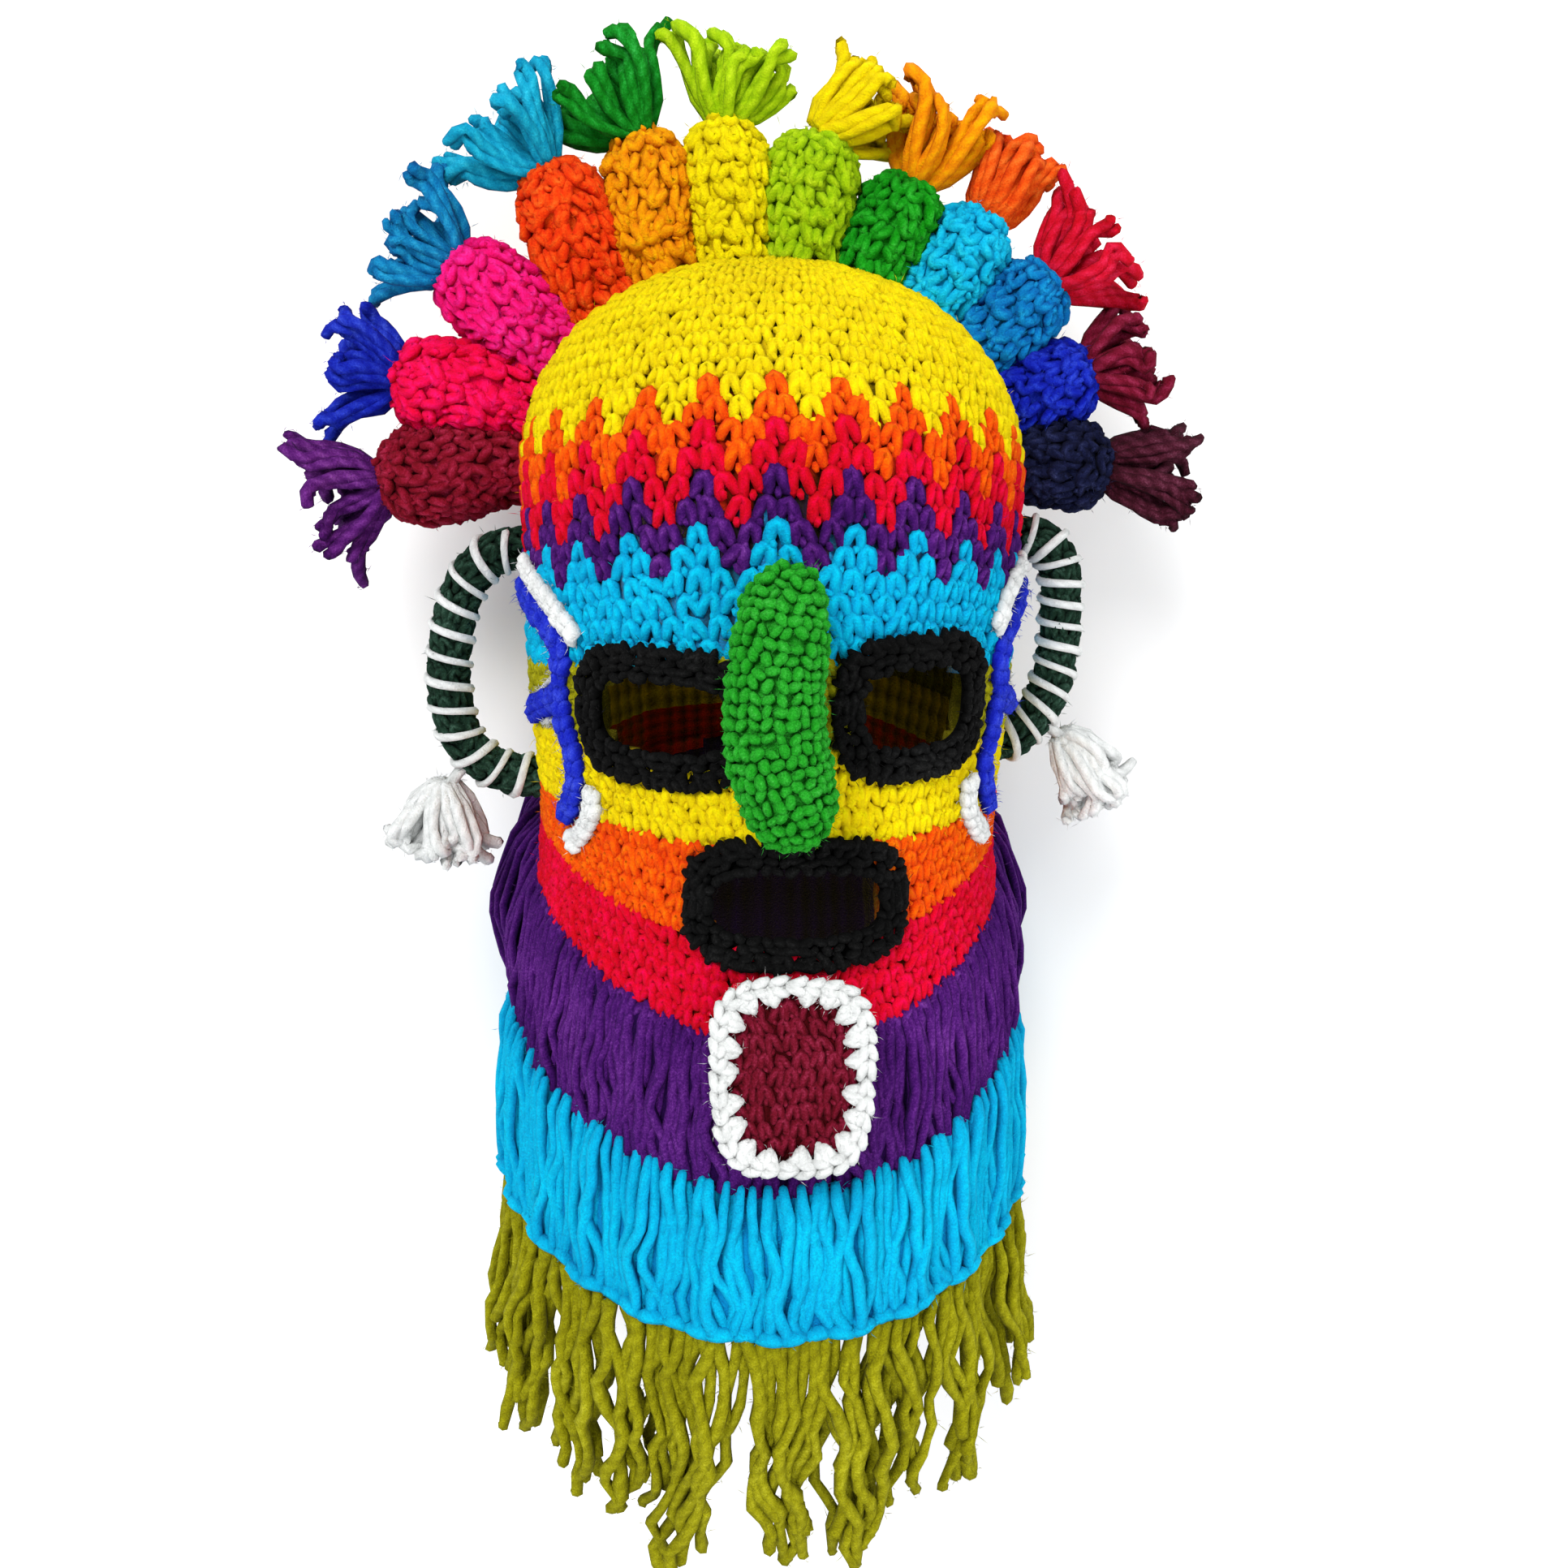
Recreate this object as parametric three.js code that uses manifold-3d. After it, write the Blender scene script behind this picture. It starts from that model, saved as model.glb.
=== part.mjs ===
// A devil dance mask, crocheted in thick wool: a hood for the whole head, with stuffed horns and nose,
// ear loops, tassels, a collar of yarn loops and a fringe.
// Millimetres. The mask lies on its back and looks up: +X is to the right of the face as it is looked
// at, +Y points to the crown, +Z points out of the face. Heights up the head are measured along Y from
// a line just under the eyes, and angles go round the head from the middle of the face, 0, to the
// middle of the back, 180.

import * as THREE from 'three';
import { mergeVertices } from 'three/addons/utils/BufferGeometryUtils.js';
import Module from 'manifold-3d';

// Hood: half widths and front depths of the head axis, by height
const HALF_WIDTHS = [[-155, 88.5], [-100, 87], [-54, 82], [-10, 76], [40, 79.5], [104, 81.5]];
const FRONT_DEPTHS = [[-155, 102], [-100, 97.5], [-54, 97], [-10, 96.5], [40, 95], [104, 93]];
const BACK_DEPTH = 108;
const AXIS_ABOVE_FLOOR = 98;
const DOME_START = 104;
const CROWN_HEIGHT = 174;
const CROWN_SET_BACK = 16;
const DOME_SQUARENESS = 2.15;
const WALL = 7;
const COLLAR_LIFT = 7;
const GAP = 0.3;

// Heights of the lines where the yarn changes colour: at the front, at the sides, at the back
const HEM = [-150, -134, -146];
const TURQUOISE_LOOPS_TOP = [-104, -76, -86];
const PURPLE_LOOPS_TOP = [-57, -27, 2];
const RED_TOP = [-28, -9, 6];
const ORANGE_TOP = [2, 5, 16];
const YELLOW_TOP = [30, 26, 34];
const OLIVE_TOP = [60, 45, 52];
const TURQUOISE_PEAKS = [95, 80, 84];
const PURPLE_PEAKS = [110, 93, 96];
const ORANGE_PEAKS = [135, 120, 120];

// Facets of the hood: columns round it, and rows in each band from the hem up
const HOOD_COLUMNS = 32;
const OUTSIDE_ROWS = [1, 1, 2, 1, 1, 1, 2, 1, 1];
const INSIDE_ROWS = [1, 1, 1, 0, 1, 0, 1, 0, 0];

// Holes and their edgings: centre angle, centre height, half sizes
const EYE_LEFT = { angle: -27.6, height: 37.5, halfAngle: 18, halfHeight: 14.8 };
const EYE_RIGHT = { angle: 28.6, height: 40.8, halfAngle: 16.6, halfHeight: 15.9 };
const MOUTH = { angle: 2.4, height: -15.2, halfAngle: 21.6, halfHeight: 14.2 };
const HOLE_SQUARENESS = 3.2;
const RIM_WIDTH = 8.6;
const RIM_HEIGHT = 6;

// Nose, a stuffed tube down the middle of the face: [across, height] places along its middle line
const NOSE_LINE = [[-1.5, 83.5], [-4, 65], [-5.7, 45], [-4, 28], [3.2, 7.5]];
const NOSE_RADIUS = 14.4;
const NOSE_DROP = 5;

// Tongue patch, under the mouth
const TONGUE_CENTRE = { x: 1.6, y: -64.8 };
const TONGUE_WIDTH = 49;
const TONGUE_HEIGHT = 59.5;
const TONGUE_CORNER = 11;
const TONGUE_TILT = 7.6;
const TONGUE_TAPER = 0.06;
const TONGUE_CURVES = { bevelEnabled: false, curveSegments: 2, depth: 3.6 };
const EDGE_BRAID = 5;
const TOOTH_LENGTH = 5;
const TEETH_ACROSS = 4;
const TEETH_DOWN = 6;
const CORNER_SHARE = 0.14;

// Horns: a fan over the crown, from the left foot of the fan to the right one. Each has its colour and
// its tassel's colour, its length, turn and radius, and the tassel's lean, reach and spread.
const FAN_START = 178;
const FAN_STEP = -15.75;
const FAN_SET_BACK = 8;
const HORN_FOOT_RADIUS = 11.2;
const TASSEL_NECK = 5.5;
const HORNS = [
  [0x7d1128, 0x5a1a70, 44, 9, 16, 11, 22, 30],
  [0xee0a4c, 0x1628b4, 43, 8, 15, -5, 22, 26],
  [0xf0287d, 0x0a78b4, 42, -4, 15.4, 0, 22, 25],
  [0xff4a0a, 0x12a8d0, 44, -17, 14.8, 19, 25, 28],
  [0xff9400, 0x0a8018, 41, -15, 14.4, 29, 22, 26],
  [0xffd400, 0xa0cc10, 39, -5, 14.2, -20, 25, 23],
  [0xa4cc14, 0xf4d800, 35, 0, 15, -48, 26, 21],
  [0x159a15, 0xff9a00, 30, -6, 13.8, 7, 34, 19],
  [0x20b4d8, 0xf85a10, 32, 4, 13.8, 0, 29, 13],
  [0x1a7abc, 0xd80c2c, 33, 6, 13.8, -4, 22, 26],
  [0x1a2cb4, 0x78102c, 29, 0, 14, -7, 24, 21],
  [0x14193c, 0x401020, 29, -6, 14.6, -5, 30, 21],
].map(([colour, tassel, length, turn, radius, lean, reach, spread]) => (
  { colour, tassel, length, turn, radius, lean, reach, spread }
));

// Ear loops: points of the middle line beside the head, from the temple to the jaw
const EAR_RADIUS = 6.5;
const EAR_FORWARD = 5;
const EAR_LEFT = [[-84, 80], [-94, 76], [-102, 64], [-106, 47], [-106, 28], [-101, 14], [-91, 6], [-80, 4]];
const EAR_RIGHT = [[84, 86], [92, 84], [97.4, 75], [98.4, 60], [97.8, 44], [93, 28], [82.5, 17]];
const WRAP_RADIUS = 1.1;
const WRAP_TURNS = 13;
const WRAP_STEPS = 5;
const EAR_TASSEL_LEFT = { knot: [-109, 2], way: [-0.04, -1], length: 29, spread: 17 };
const EAR_TASSEL_RIGHT = { knot: [101, 19], way: [0.6, -0.8], length: 33, spread: 12.5 };

// Crocheted lines on the cheeks: [degrees round the head, height] places along each
const CHEEK_CORD_WIDTH = 6.4;
const CHEEK_CORD_THICKNESS = 4.2;
const BLUE_LEFT = [[-78, 69], [-62, 61], [-55, 53], [-55.5, 42], [-54.5, 30], [-52, 20], [-53, 11], [-58, 0]];
const BLUE_LEFT_BRANCH = [[-55.5, 39], [-63, 35], [-74, 29]];
const BLUE_RIGHT = [[80, 71], [65, 63], [57, 53], [57, 42], [55, 30], [53, 20], [56, 11], [60, 3]];
const BLUE_RIGHT_BRANCH = [[57, 42], [64, 37], [71, 34]];
const WHITE_UPPER_LEFT = [[-76, 76.5], [-62, 69], [-50, 58.5]];
const WHITE_LOWER_LEFT = [[-46.5, 12.5], [-47.5, 5.5], [-51, -2], [-56, -8]];
const WHITE_UPPER_RIGHT = [[76, 79], [62, 73], [53.5, 60.5]];
const WHITE_LOWER_RIGHT = [[46.5, 16], [47.5, 8], [52, 0], [58, -5]];

// Collar and fringe
const LOOP_THICKNESS = 6.5;
const LOOP_VALLEY = 0.5;
const NAPE_PUFF = 15;
const NAPE_RISE = 24;
const LOOP_FLUTES = 26;
const FRINGE_LOCKS = 25;
const LOCK_RADIUS = 11.5;
const LOCK_TIP = 0.62;
const FRONT_LOCK_LENGTH = 97;
const SIDE_LOCK_LENGTH = 66;
const BACK_LOCK_LENGTH = 74;
const LOCK_DROOP = 16;

// Colours of the yarns
const YARN = {
  yellow: 0xffe100,
  purple: 0x4b146e,
  turquoise: 0x00bfee,
  olive: 0xa6a20a,
  black: 0x1c1c1c,
  green: 0x1fa81f,
  darkRed: 0x7a1028,
  white: 0xf4f6f4,
  darkGreen: 0x1f3a2c,
  blue: 0x1f2fc8,
};

const radians = THREE.MathUtils.degToRad;
const { lerp, clamp, smoothstep } = THREE.MathUtils;
const wasm = await Module();
wasm.setup();

// Value at a height on a smooth curve through [height, value] stations
function smoothAlong(stations, height) {
  const count = stations.length;
  const y = clamp(height, stations[0][0], stations[count - 1][0]);
  let i = 0;
  while (i < count - 2 && y > stations[i + 1][0]) i += 1;
  const slope = (k) => {
    const before = stations[Math.max(k - 1, 0)];
    const after = stations[Math.min(k + 1, count - 1)];
    return (after[1] - before[1]) / (after[0] - before[0]);
  };
  const [y0, v0] = stations[i];
  const [y1, v1] = stations[i + 1];
  const span = y1 - y0;
  const t = (y - y0) / span;
  const rise = v1 - v0;
  const bend = (slope(i) * (1 - t) - slope(i + 1) * t) * span - rise * (1 - 2 * t);
  return v0 + rise * t + bend * t * (1 - t);
}

// Height of a colour line at an angle round the head
function lineHeight([front, side, back], angle) {
  const c = Math.cos(angle);
  return side + ((c > 0 ? front : back) - side) * c * c;
}

// How far the back of the hood is raised off the floor, to leave room for the collar under it
function floorUnder(height) {
  const start = PURPLE_LOOPS_TOP[2];
  return COLLAR_LIFT * smoothstep(start - height, -NAPE_RISE - 24, -NAPE_RISE - 4);
}

// A point of the hood's outside at an angle and a height, lifted off it; `rest` is the floor's level
function onHood(angle, height, lift = 0, rest = floorUnder(height) - lift) {
  const c = Math.cos(angle);
  const up = Math.max(height - DOME_START, 0) / (CROWN_HEIGHT - DOME_START);
  const shrink = (1 - Math.min(up, 1) ** DOME_SQUARENESS) ** (1 / DOME_SQUARENESS);
  const y = up > 0 ? DOME_START + (CROWN_HEIGHT - DOME_START + lift) * up : height;
  const depth = c > 0 ? smoothAlong(FRONT_DEPTHS, height) : BACK_DEPTH;
  const x = (smoothAlong(HALF_WIDTHS, height) + lift) * shrink * Math.sin(angle);
  const z = AXIS_ABOVE_FLOOR - CROWN_SET_BACK * up * up + (depth + lift) * shrink * c;
  return new THREE.Vector3(x, y, Math.max(z, rest));
}

// A solid skin over rings of points; a ring of one point is a pole, and a loop joins its ends
function loft(rings, loop = false) {
  const starts = [];
  const positions = [];
  for (const ring of rings) {
    starts.push(positions.length / 3);
    for (const point of ring) positions.push(point.x, point.y, point.z);
  }
  const index = [];
  const pairs = loop ? rings.length : rings.length - 1;
  for (let i = 0; i < pairs; i += 1) {
    const j = (i + 1) % rings.length;
    const countA = rings[i].length;
    const countB = rings[j].length;
    for (let k = 0; k < Math.max(countA, countB); k += 1) {
      const a0 = starts[i] + (k % countA);
      const a1 = starts[i] + ((k + 1) % countA);
      const b0 = starts[j] + (k % countB);
      const b1 = starts[j] + ((k + 1) % countB);
      if (countA > 1) index.push(a0, a1, b0);
      if (countB > 1) index.push(a1, b1, b0);
    }
  }
  const geometry = new THREE.BufferGeometry();
  geometry.setAttribute('position', new THREE.Float32BufferAttribute(positions, 3));
  geometry.setIndex(index);
  return facingOut(geometry);
}

// The same geometry with its faces turned outwards
function facingOut(geometry) {
  const { position } = geometry.attributes;
  const { array } = geometry.index;
  const [a, b, c] = [0, 1, 2].map(() => new THREE.Vector3());
  let volume = 0;
  for (let i = 0; i < array.length; i += 3) {
    a.fromBufferAttribute(position, array[i]);
    b.fromBufferAttribute(position, array[i + 1]);
    c.fromBufferAttribute(position, array[i + 2]);
    volume += a.dot(b.cross(c));
  }
  if (volume < 0) {
    for (let i = 0; i < array.length; i += 3) [array[i], array[i + 1]] = [array[i + 1], array[i]];
  }
  return geometry;
}

function toManifold(geometry) {
  const bare = geometry.clone();
  bare.deleteAttribute('normal');
  bare.deleteAttribute('uv');
  const merged = mergeVertices(bare, 1e-4);
  const vertProperties = new Float32Array(merged.attributes.position.array);
  const triVerts = new Uint32Array(merged.index.array);
  return new wasm.Manifold(new wasm.Mesh({ numProp: 3, vertProperties, triVerts }));
}

function fromManifold(solid) {
  const { vertProperties, triVerts } = solid.getMesh();
  const geometry = new THREE.BufferGeometry();
  geometry.setAttribute('position', new THREE.Float32BufferAttribute(vertProperties, 3));
  geometry.setIndex([...triVerts]);
  return geometry;
}

function cut(geometry, ...tools) {
  return fromManifold(tools.reduce((body, tool) => body.subtract(toManifold(tool)), toManifold(geometry)));
}

function join(...geometries) {
  return fromManifold(geometries.map(toManifold).reduce((body, next) => body.add(next)));
}

// Rings along a curve; `section` gives the radius at a place along it, 0 to 1, and an angle round it
function tube(curve, steps, sides, section) {
  const frames = curve.computeFrenetFrames(steps, false);
  const rings = [[curve.getPointAt(0)]];
  for (let i = 0; i <= steps; i += 1) {
    const t = i / steps;
    const centre = curve.getPointAt(t);
    const ring = [];
    for (let k = 0; k < sides; k += 1) {
      const angle = (2 * Math.PI * k) / sides;
      const radius = section(t, angle, k);
      ring.push(centre.clone()
        .addScaledVector(frames.normals[i], radius * Math.cos(angle))
        .addScaledVector(frames.binormals[i], radius * Math.sin(angle)));
    }
    rings.push(ring);
  }
  rings.push([curve.getPointAt(1)]);
  return loft(rings);
}

// A flat-bottomed cord that lies on the hood; `place` gives [angle, height] at 0 to 1 along it
function hoodCord(place, steps, width, thickness, closed) {
  const section = [[-0.5, 0], [-0.4, 0.7], [0, 1], [0.4, 0.7], [0.5, 0]];
  const points = [];
  const lifts = [];
  for (let i = 0; i <= steps; i += 1) {
    const [angle, height] = place(i / steps);
    const foot = onHood(angle, height, 2 * GAP);
    points.push(foot);
    lifts.push(onHood(angle, height, thickness).sub(foot).normalize());
  }
  const count = closed ? steps : steps + 1;
  const rings = [];
  for (let i = 0; i < count; i += 1) {
    const before = points[closed ? (i - 1 + steps) % steps : Math.max(i - 1, 0)];
    const after = points[closed ? (i + 1) % steps : Math.min(i + 1, steps)];
    const across = after.clone().sub(before).cross(lifts[i]).normalize();
    rings.push(section.map(([side, up]) => points[i].clone()
      .addScaledVector(across, side * width)
      .addScaledVector(lifts[i], up * thickness)));
  }
  if (closed) return loft(rings, true);
  const middle = (i) => [points[i].clone().addScaledVector(lifts[i], thickness / 2)];
  return loft([middle(0), ...rings, middle(steps)]);
}

// A cord on the hood through a few [degrees, height] places
function cordThrough(places, width, thickness, steps = Math.ceil(1.4 * places.length)) {
  const route = new THREE.CatmullRomCurve3(places.map(([degrees, height]) => (
    new THREE.Vector3(radians(degrees), height / 80, 0))));
  const place = (t) => {
    const at = route.getPoint(t);
    return [at.x, at.y * 80];
  };
  return hoodCord(place, steps, width, thickness, false);
}

// An oval with its corners squared a little, as [angle, height] at 0 to 1 round it
function ovalPlace({ angle, height, halfAngle, halfHeight }, t, grow = 0) {
  const turn = 2 * Math.PI * t;
  const power = 2 / HOLE_SQUARENESS;
  const c = Math.cos(turn);
  const s = Math.sin(turn);
  const degreesPerMillimetre = 0.62;
  return [
    radians(angle + (halfAngle + grow * degreesPerMillimetre) * Math.sign(c) * Math.abs(c) ** power),
    height + (halfHeight + grow) * Math.sign(s) * Math.abs(s) ** power,
  ];
}

// A plug that cuts an oval hole through the front of the hood
function holePlug(oval, sides = 16) {
  const outline = [];
  for (let k = 0; k < sides; k += 1) {
    const [angle, height] = ovalPlace(oval, k / sides, -RIM_WIDTH / 2 + 0.4);
    outline.push(onHood(angle, height));
  }
  const plane = (offset) => outline.map((p) => new THREE.Vector3(p.x, p.y, p.z + offset));
  const centre = (offset) => {
    const middle = outline.reduce((sum, p) => sum.add(p), new THREE.Vector3()).divideScalar(sides);
    return [middle.add(new THREE.Vector3(0, 0, offset))];
  };
  return loft([centre(-40), plane(-40), plane(30), centre(30)]);
}

// Rings of the hood from the hem to the crown, with a number of rows in each band and in the dome
function hoodRings(lift, rowsPerBand, domeRows) {
  const lines = [HEM, TURQUOISE_LOOPS_TOP, PURPLE_LOOPS_TOP, RED_TOP, ORANGE_TOP, YELLOW_TOP, OLIVE_TOP,
    TURQUOISE_PEAKS, PURPLE_PEAKS, ORANGE_PEAKS];
  const angles = Array.from({ length: HOOD_COLUMNS }, (_, k) => (2 * Math.PI * k) / HOOD_COLUMNS);
  const rings = [];
  const ringAt = (heightAt) => angles.map((angle) => onHood(angle, heightAt(angle), lift));
  for (let i = 0; i < lines.length - 1; i += 1) {
    for (let s = 0; s < rowsPerBand[i]; s += 1) {
      const share = s / rowsPerBand[i];
      const between = (angle) => lerp(lineHeight(lines[i], angle), lineHeight(lines[i + 1], angle), share);
      rings.push(ringAt(between));
    }
  }
  const rise = CROWN_HEIGHT - DOME_START;
  for (let s = 0; s < domeRows; s += 1) {
    rings.push(ringAt((angle) => {
      const start = Math.asin((lineHeight(ORANGE_PEAKS, angle) - DOME_START) / rise);
      return DOME_START + rise * Math.sin(lerp(start, Math.PI / 2, s / domeRows));
    }));
  }
  rings.push([onHood(0, CROWN_HEIGHT, lift)]);
  return rings;
}

function makeHood() {
  const outside = hoodRings(0, OUTSIDE_ROWS, 5);
  const inside = hoodRings(-WALL, INSIDE_ROWS, 3);
  const shell = loft([...inside.reverse(), ...outside]);
  return cut(shell, holePlug(EYE_LEFT), holePlug(EYE_RIGHT), holePlug(MOUTH));
}

// The whole space of the hood, a little larger, to trim what is sewn against it
function makeHoodRoom() {
  const skin = hoodRings(GAP, OUTSIDE_ROWS, 5);
  return loft([[new THREE.Vector3(0, HEM[1], AXIS_ABOVE_FLOOR)], ...skin]);
}

function makeRim(oval, steps = 18) {
  return hoodCord((t) => ovalPlace(oval, t), steps, RIM_WIDTH, RIM_HEIGHT, true);
}

function makeNose(grow = 0) {
  const centreline = new THREE.CatmullRomCurve3(NOSE_LINE.map(([across, height], i) => {
    const drop = (NOSE_DROP * i) / (NOSE_LINE.length - 1);
    return new THREE.Vector3(across, height, onHood(0, height).z + NOSE_RADIUS + 2 * GAP + drop);
  }));
  return tube(centreline, 8, 10, (t) => {
    const ends = Math.min(t, 1 - t) * 2;
    return grow + NOSE_RADIUS * (0.62 + 0.38 * Math.min(ends * 3, 1) ** 0.5) * lerp(0.95, 1.04, t);
  });
}

function roundedRectangle(width, height, corner) {
  const shape = new THREE.Shape();
  const x = width / 2;
  const y = height / 2;
  shape.moveTo(-x + corner, -y);
  shape.lineTo(x - corner, -y);
  shape.absarc(x - corner, -y + corner, corner, -Math.PI / 2, 0);
  shape.absarc(x - corner, y - corner, corner, 0, Math.PI / 2);
  shape.absarc(-x + corner, y - corner, corner, Math.PI / 2, Math.PI);
  shape.absarc(-x + corner, -y + corner, corner, Math.PI, 1.5 * Math.PI);
  return shape;
}

// The inner edge of the tongue's edging: a rectangle whose sides are zigzags of teeth, bare at its corners
function toothedOutline() {
  const halfWidth = TONGUE_WIDTH / 2 - EDGE_BRAID;
  const halfHeight = TONGUE_HEIGHT / 2 - EDGE_BRAID;
  const corners = [[-1, -1], [1, -1], [1, 1], [-1, 1]];
  const outline = [];
  corners.forEach(([cx, cy], i) => {
    const [nx, ny] = corners[(i + 1) % 4];
    const teeth = cy === ny ? TEETH_ACROSS : TEETH_DOWN;
    const inward = [-(ny - cy) / 2, (nx - cx) / 2];
    const place = (share, depth) => new THREE.Vector2(
      lerp(cx, nx, share) * halfWidth + inward[0] * depth,
      lerp(cy, ny, share) * halfHeight + inward[1] * depth,
    );
    outline.push(place(0.02, 0));
    for (let k = 0; k < teeth; k += 1) {
      const share = lerp(CORNER_SHARE, 1 - CORNER_SHARE, k / teeth);
      const width = (1 - 2 * CORNER_SHARE) / teeth;
      outline.push(place(share, 0), place(share + width / 2, TOOTH_LENGTH));
    }
    outline.push(place(1 - CORNER_SHARE, 0));
  });
  return outline;
}

// Narrows a flat shape downwards and lays it on the collar under the mouth
function onTongue(geometry, lift) {
  const { position } = geometry.attributes;
  for (let i = 0; i < position.count; i += 1) {
    const taper = 1 + TONGUE_TAPER * (position.getY(i) / (TONGUE_HEIGHT / 2));
    position.setX(i, position.getX(i) * taper);
  }
  const foot = TONGUE_CENTRE.y;
  const face = onHood(0, foot).z + LOOP_THICKNESS * 0.75;
  geometry.translate(0, 0, lift);
  geometry.rotateX(-radians(TONGUE_TILT));
  geometry.translate(TONGUE_CENTRE.x, foot, face + 2 * GAP);
  return geometry;
}

function makeTongue() {
  const shape = roundedRectangle(TONGUE_WIDTH - 3, TONGUE_HEIGHT - 3, TONGUE_CORNER);
  return onTongue(new THREE.ExtrudeGeometry(shape, TONGUE_CURVES), 0);
}

function makeTongueEdge() {
  const shape = roundedRectangle(TONGUE_WIDTH, TONGUE_HEIGHT, TONGUE_CORNER);
  shape.holes.push(new THREE.Path(toothedOutline()));
  return onTongue(new THREE.ExtrudeGeometry(shape, TONGUE_CURVES), TONGUE_CURVES.depth + GAP);
}

// Where a horn stands on the dome, which way it points in the fan, and where its tip is
function hornPlace(number) {
  const around = radians(FAN_START + FAN_STEP * number);
  const { turn, length, lean } = HORNS[number];
  const way = around + radians(turn);
  const tasselWay = way + radians(lean);
  const foot = new THREE.Vector3(
    HALF_WIDTHS.at(-1)[1] * Math.cos(around),
    DOME_START + (CROWN_HEIGHT - DOME_START) * Math.sin(around),
    AXIS_ABOVE_FLOOR - FAN_SET_BACK,
  );
  const out = new THREE.Vector3(Math.cos(way), Math.sin(way), 0);
  const radial = new THREE.Vector3(Math.cos(around), Math.sin(around), 0);
  foot.addScaledVector(radial, 3.4);
  const tip = foot.clone().addScaledVector(out, length);
  const tasselOut = new THREE.Vector3(Math.cos(tasselWay), Math.sin(tasselWay), -0.12).normalize();
  return { foot, radial, out, tip, tasselOut };
}

function makeHorn(number, grow = 0) {
  const { foot, radial, out, tip } = hornPlace(number);
  const spine = new THREE.CatmullRomCurve3([
    foot,
    foot.clone().addScaledVector(radial, 6),
    foot.clone().addScaledVector(out, HORNS[number].length * 0.6),
    tip,
  ]);
  return tube(spine, 4, 8, (t) => {
    const swell = lerp(HORN_FOOT_RADIUS, HORNS[number].radius, smoothstep(t, 0, 0.45));
    return grow + swell * Math.sqrt(1 - 0.75 * smoothstep(t, 0.7, 1) ** 2);
  });
}

// A bundle of yarn that opens out from its tied neck to ragged ends
function tassel(start, direction, length, spread, strands, sag = 0, grow = 0) {
  const end = start.clone().addScaledVector(direction, length);
  end.z -= sag;
  const middle = start.clone().addScaledVector(direction, length * 0.55);
  const spine = new THREE.QuadraticBezierCurve3(start, middle, end);
  return tube(spine, 3, strands * 2, (t, angle, k) => {
    const flute = k % 2 === 0 ? 1 : lerp(1, 0.66, t);
    const ragged = 1 + 0.12 * Math.sin(3 * angle + length) * t;
    const open = lerp(TASSEL_NECK, spread, Math.min(t * 1.5, 1) ** 0.7);
    return grow + open * flute * ragged * (t === 1 ? 0.85 : 1);
  });
}

function makeTassel(number, grow = 0) {
  const { tip, out, tasselOut } = hornPlace(number);
  const { lean, reach, spread } = HORNS[number];
  const clear = 2 * GAP + TASSEL_NECK * Math.sin(radians(Math.abs(lean) + 8));
  const start = tip.clone().addScaledVector(out, clear);
  return tassel(start, tasselOut, reach, spread, 5, 4, grow);
}

function earCurve(points) {
  const level = AXIS_ABOVE_FLOOR + EAR_FORWARD;
  return new THREE.CatmullRomCurve3(points.map(([x, y]) => new THREE.Vector3(x, y, level)));
}

function makeEar(points) {
  return tube(earCurve(points), 11, 8, () => EAR_RADIUS);
}

// A spiral of thin yarn just outside an ear loop
function makeEarWrap(points) {
  const ear = earCurve(points);
  const samples = WRAP_TURNS * WRAP_STEPS;
  const frames = ear.computeFrenetFrames(samples, false);
  const spiral = [];
  for (let i = 4; i <= samples - 4; i += 1) {
    const angle = (2 * Math.PI * i) / WRAP_STEPS;
    const reach = (EAR_RADIUS + GAP) / Math.cos(Math.PI / WRAP_STEPS) + WRAP_RADIUS;
    spiral.push(ear.getPointAt(i / samples)
      .addScaledVector(frames.normals[i], reach * Math.cos(angle))
      .addScaledVector(frames.binormals[i], reach * Math.sin(angle)));
  }
  const yarn = new THREE.CatmullRomCurve3(spiral);
  return tube(yarn, spiral.length - 1, 3, () => WRAP_RADIUS);
}

function makeEarTassel({ knot: [x, y], way: [wayX, wayY], length, spread }) {
  const start = new THREE.Vector3(x, y, AXIS_ABOVE_FLOOR + EAR_FORWARD);
  return tassel(start, new THREE.Vector3(wayX, wayY, 0).normalize(), length, spread, 5, 3);
}

function makeCheekCord(...routes) {
  const cords = routes.map((places) => cordThrough(places, CHEEK_CORD_WIDTH, CHEEK_CORD_THICKNESS));
  return cords.length > 1 ? join(...cords) : cords[0];
}

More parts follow.
